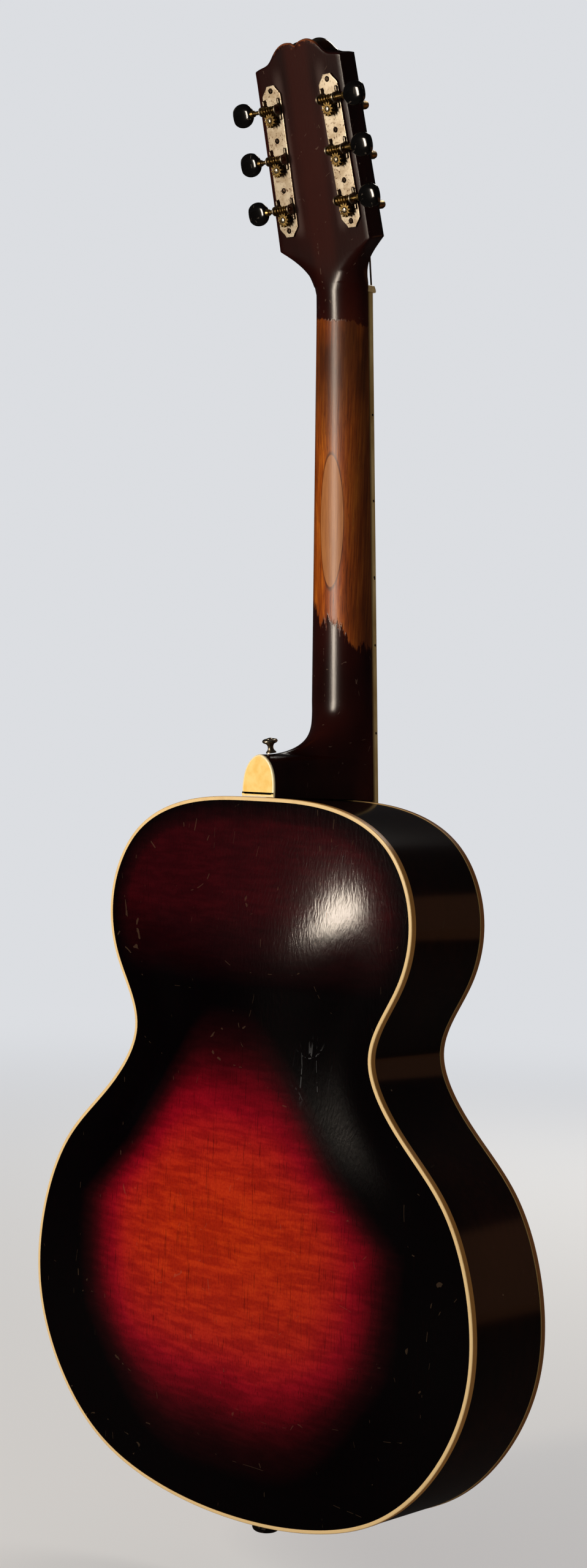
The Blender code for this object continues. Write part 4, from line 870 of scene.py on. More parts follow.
# The headstock's face: a thin black veneer glued on, cut to the head's outline, with a nickel bushing
# pressed in round each post. Under a small bell-shaped black cover lies the brass nut of the steel truss
# rod.
HEAD_EDGE = np.vstack([[(0, 1.6), (21.6, 1.6)], HEAD_SIDE[8:, ::-1], [(41.0, 60), (40.2, 95), (39.6, 125)],
                       CREST[:0:-1], [(0, 165.4)]])


def plaque(loop, low, high, rounding, on=on_head):
    """A flat piece cut to a loop: its wall from y = low, then a quarter-circle edge up to the flat at y =
    high."""
    turn = np.linspace(0, np.pi / 2, 3)
    away = np.concatenate([[0], rounding * (1 - np.cos(turn)), [rounding + 0.25]])
    y = np.concatenate([[low], high - np.sign(high - low) * rounding * (1 - np.sin(turn)), [high]])
    flat = inset(loop, away).transpose(1, 0, 2)
    return on(spread(flat[..., 0], y[:, None], flat[..., 1]))


veneer = solid("headstock_veneer", plaque(mirrored(HEAD_EDGE), -13.9, -15.4, 0.4), sharp=30)
carve(veneer, box_cutter(*ROD_POCKET), *post_cutters())
black_lacquer, shader = new_shader("black_lacquer", Roughness=0.2)
here = spot(shader)
lines = use(scratches, here, Scale=60.0, Width=0.004, Share=0.58)
tone = mix(levels(noise(here, 90.0, 3.0), 0.4, 0.7), paint(14, 10, 9), paint(24, 17, 14))
tint(shader, mix(lines * 0.35, tone, paint(110, 96, 84)))
bump(shader, use(ripples, here), 0.00005, 0.4)
fit(veneer, "guitar", "black_veneer", black_lacquer, "headstock_overlay")


def lathe(profile, base, angle=0.0, sides=40, on=None):
    """A turned piece: (radius, height) pairs spun about the Z axis, then tilted about X and set on its
    base."""
    radius, height = np.array(profile, float).T[..., None]
    turn = full_turn(sides)
    grid = tilted(spread(radius * np.cos(turn), radius * np.sin(turn), height), angle, base)
    return grid if on is None else on(grid)


def metal(name, bright, worn, rust, share, rough=0.3):
    """Old plated metal: bright where touched, worn duller in clouds, with small dark rust spots."""
    material, shader = new_shader(name, Metallic=1.0)
    here = spot(shader)
    cloud = noise(here, 130.0, 4.0, 0.6)
    spots = levels(noise(here, 620.0, 3.0, 0.7), share, share + 0.08)
    tone = mix(levels(cloud, 0.38, 0.66), bright, worn)
    tint(shader, mix(spots * levels(cloud, 0.35, 0.6), tone, rust))
    join(cloud * 0.2 + spots * 0.25 + (rough - 0.1), shader.inputs["Roughness"])
    bump(shader, spots + cloud * 0.5, 0.00005, 0.4)
    return material


nickel = metal("aged_nickel_plate", paint(214, 203, 182), paint(176, 158, 130), paint(92, 52, 34), 0.60)
brass = metal("aged_brass_parts", paint(176, 146, 88), paint(122, 98, 58), paint(48, 32, 18), 0.52, 0.32)
dark_steel = metal("dark_screw_steel", paint(84, 68, 56), paint(52, 40, 32), paint(26, 16, 10), 0.5, 0.4)


def plated(piece, *nodes, body="guitar"):
    """Finishes a nickel-plated piece."""
    fit(piece, body, "aged_nickel", nickel, *nodes)


def turn_up(place_on_head, outward):
    """A lathe setting for a piece whose axis stands on the head's back (+1) or face (-1) at (x, y, s)."""
    return {"base": place_on_head, "angle": -outward * np.pi / 2, "on": on_head}


bushing = [(3.2, 0.0), (5.2, 0.0), (5.2, 0.35), (4.7, 0.9), (3.9, 1.1), (3.2, 0.8)]
rings = [lathe(bushing, **turn_up((x, -15.45, s), -1)) for _, _, x, s in post_places]
plated(solid("post_bushings", *rings, along=True))


def slotted_screws(name, radius, places, turns):
    """Domed screw heads, each with a straight slot cut across it: places are lathe settings, turns slot
    angles."""
    dome = [(radius * np.sin(a), radius * 0.42 * np.cos(a)) for a in np.linspace(np.pi / 2, 0.02, 7)]
    heads = solid(name, *[lathe([(radius, -0.4)] + dome, sides=28, **setting) for setting in places])
    long, half = radius * 1.2, 0.225
    cuts = []
    for setting, angle in zip(places, turns):
        c, s = np.cos(angle), np.sin(angle)
        corners = [(-long, -half), (long, -half), (long, half), (-long, half)]
        flat = [(x * c - y * s, x * s + y * c) for x, y in corners]
        box = [[(x, y, h) for x, y in flat] for h in (radius * 0.12, radius)]
        box = tilted(box, setting["angle"], setting["base"])
        cuts.append(setting["on"](box) if "on" in setting else box)
    return carve(heads, solid(name + "_slots", *cuts))


bell = curve_through([(0, 2.4), (6, 2.5), (11.2, 3.2), (13.1, 5.2), (12.6, 9), (10.4, 13.5), (8.1, 18.5),
                      (6.6, 24),
                      (5.2, 29.6), (2.6, 32.8), (0, 33.5)], 4)
rod_cover = solid("truss_rod_cover_bell", plaque(mirrored(bell), -15.7, -17.3, 0.5), sharp=30)
fit(rod_cover, "guitar", "black_plastic", black_lacquer, "truss_rod_cover")
plated(slotted_screws("cover_screws", 1.6, [turn_up((0, -17.25, s), -1) for s in (5.6, 29.6)], (0.4, 1.2)))
rod_nut = solid("truss_rod_hex_nut", on_neck(rod_grid(
    (0, 4.6, 1.9), (0, 4.6, 9.9), [2.7, 3.4, 3.4, 2.8, 2.1, 2.0], 6, at=[0, 0.07, 0.92, 1.0, 1.0, 0.7])),
    sharp=20)
fit(rod_nut, "rod_nut", "aged_brass", brass, "truss_rod_nut")
finish_solids(dark_steel, "truss_rod")

# The fingerboard: rosewood with a cambered top, twenty nickel silver frets, pearl dots, and a cream binding
# whose side carries small black dots. The bone nut stands at its end, slotted for the strings.
BOARD_THICKNESS, BOARD_RADIUS, BOARD_END = 6.0, 305.0, 438.0
STRING_RADII = [0.66, 0.53, 0.41, 0.31, 0.22, 0.18]
STRING_SIDES = np.arange(6) / 5 - 0.5
fret_down = SCALE_LENGTH * (1 - 2 ** (-np.arange(0, 21) / 12))


def camber(x):
    """How far the board's rounded top lies behind its middle line: x ** 2 / (2 radius)."""
    return x * x / (2 * BOARD_RADIUS)


def board_grid():
    """Rows down the board; columns over its top, y = -6 + x ** 2 / 610, and back underneath."""
    z = -np.linspace(0, BOARD_END - 1.9, 24)[:, None]
    x = (board_half(z) - 1.9) * np.linspace(-1, 1, 17)
    top = spread(x, camber(x) - BOARD_THICKNESS, z)
    under = top[:, [-1, 0]]
    under[..., 1] = -0.3
    return np.concatenate([top, under], 1)


rosewood, shader = new_shader("dark_rosewood", Roughness=0.42, Specular_IOR_Level=0.35)
here = spot(shader)
fibre, pores = use(grain, here, Across=900.0, Along=30.0)
stripe = noise(here, (160.0, 160.0, 6.0), 3.0)
tone = colours(stripe, (0.3, 34, 18, 12), (0.5, 58, 32, 20), (0.7, 84, 48, 28))
tint(shader, mix(pores * 0.8, tone, paint(16, 8, 5)))
bump(shader, fibre - pores, 0.00008, 0.6)
fit(solid("fingerboard_cambered", on_neck(board_grid()), sharp=30), "guitar", "rosewood", rosewood,
    "fingerboard")


def fret_grid(down):
    """A half-round wire bent over the board: half width 1.1 and height 1.0 around the arc, ends filed
    back."""
    half = board_half(-down) - 2.0
    tip = np.array([0.0, 0.5])
    x = np.concatenate([tip - half, np.linspace(1.5 - half, half - 1.5, 13), half - tip[::-1]])[:, None]
    filed = np.clip(half - np.abs(x), 0.35, 1)
    turn = np.linspace(0, np.pi, 9)
    y = camber(x) - BOARD_THICKNESS + 0.15 - 1.15 * np.sin(turn) * filed
    return spread(x, y, -down + 1.1 * np.cos(turn))


plated(solid("frets", *[on_neck(fret_grid(down)) for down in fret_down[1:]], sharp=50))

pearl, shader = new_shader("pearl_dots", Roughness=0.2, Coat_Weight=0.4)
shimmer = noise(spot(shader), (500.0, 500.0, 240.0), 3.0)
tint(shader, colours(shimmer, (0.3, 214, 208, 190), (0.5, 236, 232, 222), (0.7, 196, 208, 204)))
bump(shader, shimmer, 0.00003, 0.3)


def before_fret(number):
    """The height of the middle of the space before a fret."""
    return -(fret_down[number - 1] + fret_down[number]) / 2


dots = []
for number, x in ((3, 0), (5, 0), (7, 0), (9, 0), (12, -10.5), (12, 10.5), (15, 0)):
    top, z = camber(x) - BOARD_THICKNESS, before_fret(number)
    dots.append(on_neck(rod_grid((x, top + 0.8, z), (x, top - 0.05, z), [3.1, 3.1, 3.0], 28,
                                 at=[0, 0.95, 1.0])))
fit(solid("pearl_fret_dots", *dots), "guitar", "bone", pearl)


def board_binding_grid():
    """A strip 1.6 wide and 4.94 high carried down one side, across the end and up the other, mitred."""
    nut_half, end_half = board_half(0.0), board_half(-BOARD_END)
    outer = np.array([(nut_half, 0), (end_half, -BOARD_END), (-end_half, -BOARD_END), (-nut_half, 0)])
    inner = outer + [(-1.6, 0), (-1.6, 1.6), (1.6, 1.6), (1.6, 0)]
    profile = [(0, -0.3), (0, -4.9), (0.1, -5.15), (0.35, -5.235), (1, -5.235), (1, -0.3)]
    strips = [(outer + (inner - outer) * share, y) for share, y in profile]
    return np.stack([spread(flat[:, 0], y, flat[:, 1]) for flat, y in strips], 1)


neck_celluloid, shader = new_shader("celluloid_neck", Roughness=0.3)
here = spot(shader)
x, y, z = split(here)
blot = noise(here, (60.0, 60.0, 26.0), 4.0, 0.6)
tone = colours(blot, (0.3, 150, 118, 60), (0.5, 184, 156, 96), (0.7, 206, 180, 122))
stain = levels(blot * 0.0012 + y - z * np.tan(NECK_ANGLE) + 0.0055, -0.0012, -0.0002)
tint(shader, mix(stain * 0.75, tone, paint(76, 46, 22)))
bump(shader, blot, 0.00006, 0.3)
fit(solid("fingerboard_side_binding", on_neck(board_binding_grid()), sharp=40), "guitar", "cream_plastic",
    neck_celluloid, "fingerboard_binding")


def side_dot(x, y, z, proud, radius, sides):
    """A peg let into the binding's bass side at x, standing a little proud, with its end rounded off."""
    radii = [radius, radius, radius - 0.1]
    return on_neck(rod_grid((x + 0.6, y, z), (x - proud, y, z), radii, sides, at=[0, 0.93, 1.0]))


side_dots = []
for number in (3, 5, 7, 9, 12):
    z = before_fret(number)
    side_dots.append(side_dot(-board_half(z), -3.4, z, 0.04, 0.95, 18))
    if number == 7:
        side_dots.append(side_dot(-board_half(z), -3.7, z - 1.1, 0.03, 0.8, 9))
fit(solid("side_dots", *side_dots), "guitar", "black_plastic", black_lacquer)


def nut_grid():
    """A bone bar across the neck: its top falls away behind the strings' break, and its edges are rounded."""
    x = np.concatenate([[-21.6, -21.2], np.linspace(-20, 20, 9), [21.2, 21.6]])[:, None]
    y, z = np.array([(-0.3, 0.3), (-8.2, 0.3), (-8.6, 0.6), (-8.7, 1.2), (-8.3, 3.0), (-7.5, 4.4),
                     (-6.9, 4.95),
                     (-6.2, 5.0), (-0.3, 5.0)]).T
    tuck = np.where(np.abs(x) > 21.4, 0.4, 0.0)
    return spread(x, np.maximum(y + tuck * (y < -1), -8.7), z + tuck * np.sign(2.6 - z))


slots = []
for x, room in zip(35.5 * STRING_SIDES, np.add(STRING_RADII, 0.12)):
    floors = [(-3, -8.0 + room), (2.0, -8.0 + room), (9, -5.6 + room)]
    slots.append(on_neck([[(x - room, -12, z), (x + room, -12, z), (x + room, y, z), (x - room, y, z)]
                          for z, y in floors]))
bone_nut = carve(solid("bone_nut", on_neck(nut_grid()), sharp=40), solid("nut_slots", *slots))
bone, shader = new_shader("yellowed_bone", Roughness=0.35)
streak = noise(spot(shader), (90.0, 300.0, 300.0), 3.0)
tint(shader, colours(streak, (0.3, 186, 152, 98), (0.6, 214, 186, 132)))
bump(shader, streak, 0.00005, 0.3)
fit(bone_nut, "guitar", "bone", bone, "nut")

# The heel cap: a pointed arch of the same cream celluloid glued on the heel's end. Its rim is painted pale,
# partly a pale edge line on the celluloid and partly a painted highlight along its rounded edge. A nickel
# strap button is screwed into the heel above it.
STRAP_TILT, STRAP_Y, STRAP_Z = np.radians(-12), 51.0, -321.1
cap_z = HEEL_END_Z - 0.4 + (HEEL_TIP_Z - HEEL_END_Z + 0.4) * np.sin(np.linspace(0, np.pi / 2, 26))
cap_half = np.column_stack([heel_cap_half(cap_z), cap_z])
cap_away = np.array([0, 0, 0.2, 0.6, 1.4, 2.2, 3.2])
cap_flat = inset(np.vstack([cap_half, (cap_half[:-1] * [-1, 1])[::-1]]), cap_away).transpose(1, 0, 2)
cap_y = np.array([61.3, 62.2, 62.6, 62.8, 62.86, 62.9, 62.9])[:, None]
heel_cap = solid("heel_cap_arch", spread(cap_flat[..., 0], cap_y, cap_flat[..., 1]), sharp=50,
                 values={"inward": np.repeat(cap_away, cap_flat.shape[1])})
cap_celluloid, shader = new_shader("celluloid_heel_cap", Roughness=0.28)
blot = noise(spot(shader), 130.0, 4.0, 0.6)
tone = mix(levels(blot, 0.35, 0.7), paint(255, 224, 142), paint(250, 206, 112))
# The rim, found by the stored inward distance, is painted pale: a pale edge line with a painted highlight
# along the rounded edge.
tint(shader, mix(levels(blot * 0.8 + stored(shader, "inward"), 2.0, 1.1), tone, paint(255, 238, 190)))
bump(shader, blot, 0.00004, 0.3)
fit(heel_cap, "guitar", "cream_plastic", cap_celluloid, "heel_cap")
knob = curve_through([(3.6, 0.0), (3.5, 0.5), (2.6, 1.6), (2.0, 4.5), (3.0, 6.2), (5.0, 7.3), (5.3, 8.2),
                      (4.6, 9.2),
                      (2.6, 9.5)], 4)
plated(solid("strap_button_turned", lathe(knob, (0, STRAP_Y, STRAP_Z), STRAP_TILT), sharp=60), "strap_button")
screw_place = {"base": tilted((0, 0, 9.4), STRAP_TILT, (0, STRAP_Y, STRAP_Z)), "angle": STRAP_TILT}
plated(slotted_screws("strap_button_screw", 2.3, [screw_place], (0.7,)))

# The tuning machines: on each side a nickel strip with three worm gears. Its ears are folded up out of
# windows in the strip and carry the brass worm shafts; screwed to each brass gear is the post that winds the
# string.
WORM_UP, WORM_AXIS_Y = 6.75, 5.2
EAR_X, EAR_THICKNESS = 6.9, 0.9
WINDING_UP = 1.0


def strip_middle(s):
    """How far out the strip's middle line is, as it leans with the head's edge."""
    return 28.5 - MACHINE_LEAN * (s - 45.1)


def strip_plate(side):
    """The strip: an outline with clipped ends and hollow shoulders, carried along its middle line."""
    loop = mirrored([(0, 40.6), (3.3, 40.6), (4.6, 42.7), (6.6, 44.8), (8.3, 47.0), (8.4, 50.6), (8.4, 92.0),
                     (8.4, 133.0), (8.3, 136.6), (6.6, 138.8), (4.6, 140.9), (3.3, 143.0), (0, 143.0)])
    loop[:, 0] += side * strip_middle(loop[:, 1])
    return plaque(loop, 0.3, 1.5, 0.25)


window = [(3.3, 3.4), (3.1, 6.8), (3.7, 9.4), (4.7, 10.9), (4.5, 12.6), (5.0, 14.2), (5.9, 14.6), (6.4, 14.0),
          (6.4, -0.4), (5.7, -0.7), (5.0, 0.4), (4.6, 2.0)]
arc = np.linspace(0, np.pi, 13)[1:-1]
ear = np.vstack([[(-0.65, 0.6), (-0.65, 1.9), (0.1, 2.9), (1.4, 2.8), (2.6, 2.7), (3.4, 3.7), (3.5, 5.2)],
                 np.column_stack([WORM_UP - 3.25 * np.cos(arc), WORM_AXIS_Y + 3.25 * np.sin(arc)]),
                 [(10.0, 5.2), (10.1, 3.7), (10.9, 2.7), (12.1, 2.8), (13.4, 2.9), (14.15, 1.9),
                  (14.15, 0.6)]])
ear_walls = EAR_X - EAR_THICKNESS / 2, EAR_X + EAR_THICKNESS / 2
plate_nickel = metal("worn_nickel_strip", paint(208, 196, 174), paint(172, 156, 132), paint(104, 60, 36),
                     0.57, 0.42)
plate_screws, plate_turns = [], []
for label, side in (("bass", -1), ("treble", 1)):
    strip = solid("tuner_strip_" + label, strip_plate(side), sharp=40)
    cuts, ears, bores = [], [], []
    for place_side, _, x, s in post_places:
        if place_side == side:
            for hand in (-1, 1):
                cuts.append(on_head([[(x + hand * px, y, s + pz) for px, pz in window] for y in (-1, 3)]))
                ears.append(on_head([[(x + hand * wall, y, s + pz) for pz, y in ear] for wall in ear_walls]))
            cuts.append(on_head(rod_grid((x, -1, s), (x, 3, s), [3.3, 3.3])))
            bore = (x - 12, WORM_AXIS_Y, s + WORM_UP), (x + 12, WORM_AXIS_Y, s + WORM_UP)
            bores.append(on_head(rod_grid(*bore, [1.65, 1.65])))
    carve(strip, solid("strip_windows", *cuts))
    fit(strip, "guitar", "aged_nickel", plate_nickel, "tuner_plate_" + label)
    ears = carve(solid("bearing_ears_" + label, *ears, sharp=40), solid("worm_bores", *bores))
    fit(ears, "guitar", "aged_nickel", plate_nickel)
    for s, angle in ((45.0, 0.5), (72.4, 2.0), (106.0, 1.2), (139.5, 0.2)):
        plate_screws.append(turn_up((side * strip_middle(s), 1.5, s), 1))
        plate_turns.append(angle + side * 0.4)
fit(slotted_screws("strip_screws", 1.95, plate_screws, plate_turns), "guitar", "aged_nickel", dark_steel)


def gear_grid():
    """The gear's rim: radius 4.28 + 0.68 times a squashed cosine of twelve times the angle, with a tooth
    straight up at the worm, and chamfers on its two faces; then its hub."""
    turn = full_turn(12 * 12)
    rim = 4.28 + 0.68 * np.tanh(2.2 * np.cos(12 * turn)) / np.tanh(2.2)
    rings = [(rim * 0.94, 3.9), (rim, 4.15), (rim, 6.25), (rim * 0.94, 6.5), (3.2, 6.5), (3.0, 6.3),
             (2.5, 6.3)]
    return np.array([spread(r * np.sin(turn), y, r * np.cos(turn)) for r, y in rings])


def worm_grid(side, button_x):
    """The worm along X: radius from the root up to 2.75 by a rounded thread of x / pitch - angle / full
    turn; beside it collars at the ears, then the plain shaft out to the button, swelling to a ferrule."""
    tip = [-7.9, -7.899, -7.45]
    shaft = [7.42, 7.44, 8.2, 8.4, 10, button_x - 2.6, button_x - 2.3, button_x - 0.3]
    x = np.concatenate([tip, np.linspace(-6.3, 6.3, 121), shaft])[:, None]
    turn = full_turn(28)
    phase = side * x / (np.pi * 0.74) - turn / (2 * np.pi)
    thread = 0.5 + 0.5 * np.tanh(2.6 * np.cos(2 * np.pi * phase)) / np.tanh(2.6)
    plain = np.interp(x, [*tip, -6.3, -6.29, -4.8, -4.7, 4.7, 4.8, 6.29, 6.3, *shaft],
                      [0.2, 1.5, 1.6, 1.6, 2.3, 2.3, 1.5, 1.5, 2.3, 2.3, 1.6, 1.6, 2.1, 2.1, 1.45, 1.4, 1.4,
                       2.2, 2.5])
    r = np.where(np.abs(x) < 4.7, 1.55 + 1.2 * thread, plain)
    return spread(side * x, r * np.cos(turn), r * np.sin(turn))


def squared(wave, n):
    """A cosine or sine whose circle becomes the superellipse of power n: sign(w) |w| ** (2 / n)."""
    return np.sign(wave) * np.abs(wave) ** (2 / n)


def button_grid(side):
    """The button: from share t = 0 at the shaft to 1, half height 2.2 + 6 w and half thickness 2 + 1.5 w,
    with w = sqrt(1 - (2 t - 1.05) ** 2 / 1.15); a section is |z / a| ** 2.4 + |y / b| ** 2.4 = 1."""
    t = (0.5 - 0.5 * np.cos(np.linspace(0, np.pi, 26)))[:, None]
    w = np.sqrt(np.maximum(1 - (2 * t - 1.05) ** 2 / 1.15, 0))
    turn = full_turn(36)
    end = 0.4 + 0.6 * np.clip((1 - t) / 0.02, 0, 1) ** 0.5
    z = (2.2 + 6.0 * w) * squared(np.cos(turn), 2.4) * end
    y = (2.0 + 1.5 * w) * squared(np.sin(turn), 2.4) * end
    return spread(side * 15.5 * t, y, z)


def post_grid(wrap_y):
    """The post, turned in the lathe: radius 3.0 through the head, a waist where the string winds, a rounded
    end."""
    y = np.array([6.2, 5.4, 3.8, -15.0, -19.5, wrap_y + 4.0, wrap_y + 2.2, wrap_y, wrap_y - 2.2, wrap_y - 4.0,
                  -33.6, -34.8, -35.4])
    r = [2.4, 3.0, 3.0, 3.0, 3.0, 3.0, 2.8, 2.65, 2.8, 3.0, 3.0, 2.6, 1.6]
    return rod_grid((0, y[0], 0), (0, y[-1], 0), r, 28, at=(y - y[0]) / (y[-1] - y[0]))


def winding_grid(radius, wrap_y, side):
    """A string coiled on its post: a tube along a helix of four turns, which ends where the string leaves
    for the nut."""
    turns = np.linspace(-4, 0, 97)
    angle = 2 * np.pi * turns * -side + (np.pi if side > 0 else 0)
    coil = 2.72 + radius + 0.28 * np.clip(turns + 1, 0, 1)
    centre = spread(coil * np.cos(angle), wrap_y + turns * radius * 2.15, coil * np.sin(angle))
    out = spread(np.cos(angle), 0, np.sin(angle))
    turn = full_turn(8)[:, None]
    return centre[:, None] + radius * (np.cos(turn) * out[:, None] + np.sin(turn) * [0, 1.0, 0])


def moved_on_head(grid, x, y, s):
    """A grid made round its own middle, set at a place on the head."""
    return on_head(grid + [x, y, s])


button_plastic, shader = new_shader("black_button_plastic", Roughness=0.12, Coat_Weight=0.3)
here = spot(shader)
lines = use(scratches, here, Scale=120.0, Width=0.006, Share=0.6)
tint(shader, mix(lines * 0.3, paint(9, 8, 8), paint(120, 110, 98)))
bump(shader, noise(here, 240.0), 0.00002, 0.3)
steel, shader = new_shader("string_steel_worn", Metallic=1.0, Roughness=0.32)
here = spot(shader)
tint(shader, mix(levels(noise(here, 180.0, 3.0), 0.4, 0.65), paint(196, 186, 166), paint(140, 122, 98)))
bump(shader, noise(here, (400.0, 400.0, 3200.0), 1.0), 0.00003, 0.4)

for side, number, x, s in post_places:
    label = ("bass" if side < 0 else "treble") + "_" + str(number)
    wrap_y = -22.4 - 1.5 * (number - 1)
    gear, post = moved_on_head(gear_grid(), x, 0, s), moved_on_head(post_grid(wrap_y), x, 0, s)
    wheel = solid("gear_and_post_" + label, gear, post, sharp=32)
    fit(wheel, "post_" + label, "aged_brass", brass, "gear_post_" + label)
    pin = slotted_screws("gear_screw_" + label, 2.15, [turn_up((x, 6.45, s), 1)], (0.9 * number + side,))
    plated(pin, body="post_" + label)
    worm = moved_on_head(worm_grid(side, 43.0 - side * x), x, WORM_AXIS_Y, s + WORM_UP)
    fit(solid("worm_" + label, worm, sharp=40), "button_" + label, "aged_brass", brass, "worm_shaft_" + label)
    knob = moved_on_head(button_grid(side), side * 43.0, WORM_AXIS_Y, s + WORM_UP)
    fit(solid("button_" + label, knob, sharp=60), "button_" + label, "black_plastic", button_plastic,
        "tuner_button_" + label)
    radius = STRING_RADII[number - 1 if side < 0 else 6 - number]
    coil = moved_on_head(winding_grid(radius, wrap_y, side), x, 0, s + WINDING_UP)
    fit(solid("string_winding_" + label, coil, sharp=80), "post_" + label, "string_steel", steel)

# The tail: a nickel plate screwed to the end of the body, with the end pin through it. Its barrel holds a
# pin on which the trapeze tailpiece hinges: a rounded crossbar on two rods, with the strings' ball ends
# behind it.
HINGE_Y, HINGE_Z = -20.0, -843.4
TAIL_LEAN = np.arctan2(-20.0 + 53.4, -628.0 + 843.4)
PLATE_Z = BODY_TOP_Z - 490.4
END_PIN_Y = 25.1


def on_tail(points):
    """From the tailpiece's own axes, with z up its legs from the hinge pin, to the guitar's."""
    return tilted(points, TAIL_LEAN, (0, HINGE_Y, HINGE_Z))


def upright(points):
    """From a plaque lying in X-Z to one lying in X-Y: its y becomes z, and its z becomes y."""
    return points[..., [0, 2, 1]]


def sleeve(start, end, radii, at):
    """A tube's wall [row, column]: its outside from start to end and its bore back again."""
    bore = rod_grid(start, end, [radii[0], radii[-1]], 32)
    return np.concatenate([rod_grid(start, end, radii, 32, at=at), bore[::-1]])


bracket_loop = curve_through(mirrored([(0, -12.6), (8, -12.6), (14.5, -11.2), (16.9, -6), (16.9, 4),
                                       (16.6, 16),
                                       (14.6, 26), (11.6, 36), (6.5, 42.4), (0, 43.8)]), 5, closed=True)
bracket = solid("tail_bracket_plate", plaque(bracket_loop, PLATE_Z, PLATE_Z - 2.0, 0.5, on=upright), sharp=40)
carve(bracket, solid("pin_clearance", rod_grid((0, END_PIN_Y, -835), (0, END_PIN_Y, -850), [5.2, 5.2], 32)))
plated(bracket, "tailpiece_bracket")
web_rows = [(-9.0, PLATE_Z - 2.0), (-14.5, PLATE_Z - 2.1), (-17.2, PLATE_Z - 2.4), (-18.4, PLATE_Z - 2.6)]
web = np.array([[(-10.5, y, z), (10.5, y, z), (10.5, y, z + 2), (-10.5, y, z + 2)] for y, z in web_rows])
plated(solid("tail_bracket_web", web, sharp=40))
barrel = sleeve((-10.6, HINGE_Y, HINGE_Z), (10.6, HINGE_Y, HINGE_Z), [2.35, 3.6, 4.0, 4.0, 3.6, 2.35],
                [0, 0, 0.03, 0.97, 1, 1])
plated(solid("tail_bracket_barrel", barrel, along=True, sharp=40))
bracket_screws = [{"base": (x, y, PLATE_Z - 2.0), "angle": np.pi}
                  for x, y in ((-11.4, -4.5), (11.4, -4.5), (0, 38.5))]
plated(slotted_screws("tail_bracket_screws", 2.6, bracket_screws, (0.3, 1.4, 2.2)))
hinge_pin = rod_grid((-18.5, HINGE_Y, HINGE_Z), (18.5, HINGE_Y, HINGE_Z), [1.2, 1.8, 1.8, 1.2], 28,
                     at=[0, 0.015, 0.985, 1])
fit(solid("hinge_pin", hinge_pin, sharp=40), "guitar", "aged_nickel", dark_steel, "tailpiece_hinge_pin")

pin_head = curve_through([(2.6, -13.4), (6.4, -13.0), (8.9, -11.6), (9.5, -9.6), (8.2, -7.0), (6.5, -4.7),
                          (7.0, -2.7),
                          (8.2, -0.6)], 5)
pin_turned = np.vstack([[(0.5, -13.4)], pin_head, [(8.1, -0.1), (4.8, 0), (4.3, 20), (0.4, 20)]])
end_pin = solid("end_pin_turned", lathe(pin_turned, (0, END_PIN_Y, PLATE_Z - 2.3)), sharp=50)
fit(end_pin, "guitar", "black_plastic", black_lacquer, "end_pin")
inlaid = rod_grid((0, END_PIN_Y, PLATE_Z - 15.4), (0, END_PIN_Y, PLATE_Z - 15.78), [2.2, 2.1, 1.2], 28)
fit(solid("end_pin_dot", inlaid, sharp=50), "guitar", "bone", pearl)


def crossbar_grid():
    """A bar along X, a superellipse |y / a| ** 3 + |z / b| ** 3 = 1 with half height 7 that narrows at its
    ends, where it is rounded over, and half thickness 1.6."""
    x = 46 * np.sin(np.linspace(-np.pi / 2, np.pi / 2, 41))[:, None]
    reach = np.clip((46 - np.abs(x)) / 3.0, 0, 1)
    end = np.sqrt(np.maximum(1 - (1 - reach) ** 2, 0.0025))
    turn = full_turn(40)
    high = 7.0 - 1.6 * (np.abs(x) / 46) ** 4
    y = 1.6 * squared(np.cos(turn), 3) * end
    z = 127.5 + high * squared(np.sin(turn), 3) * (0.55 + 0.45 * end)
    return spread(x, y, z)


def tube_grid(path, radius, sides=14, upward=(0.0, 1.0, 0.0)):
    """A round wire along a path of points, its section square to the way the path runs."""
    path = np.array(path, float)
    along = np.gradient(path, axis=0)
    one = np.cross(along, upward)
    one /= np.linalg.norm(one, axis=1)[:, None]
    two = np.cross(along, one)
    two /= np.linalg.norm(two, axis=1)[:, None]
    turn = full_turn(sides)[:, None]
    return path[:, None] + radius * (np.cos(turn) * one[:, None] + np.sin(turn) * two[:, None])


tail_parts, knuckles = [crossbar_grid()], []
for side in (-1, 1):
    leg = curve_through([(40, 0, 124), (39.2, 0, 118), (36, 0, 109), (27.5, 0, 65), (19, 0, 22),
                         (15.6, 0, 10),
                         (14.5, 0, 3.5)], 6) * [side, 1, 1]
    tail_parts.append(tube_grid(leg, 2.0, 16))
    knuckles.append(sleeve((side * 11.3, 0, 0), (side * 17.3, 0, 0), [2.3, 3.6, 4.0, 4.0, 3.6, 2.3],
                           [0, 0, 0.1, 0.9, 1, 1]))
tailpiece = solid("tailpiece_trapeze", *[on_tail(part) for part in tail_parts], sharp=50)
plated(tailpiece, "tailpiece", body="tailpiece")
plated(solid("tailpiece_knuckles", *[on_tail(knuckle) for knuckle in knuckles], along=True, sharp=40),
       body="tailpiece")

# The bridge: a rosewood base on two feet cut to the arch, held only by the strings. Two brass wheels on its
# studs lift a rosewood saddle, whose top is cut in steps so that each string plays in tune.
BRIDGE_Z, STUD_X = -628.0, 37.0


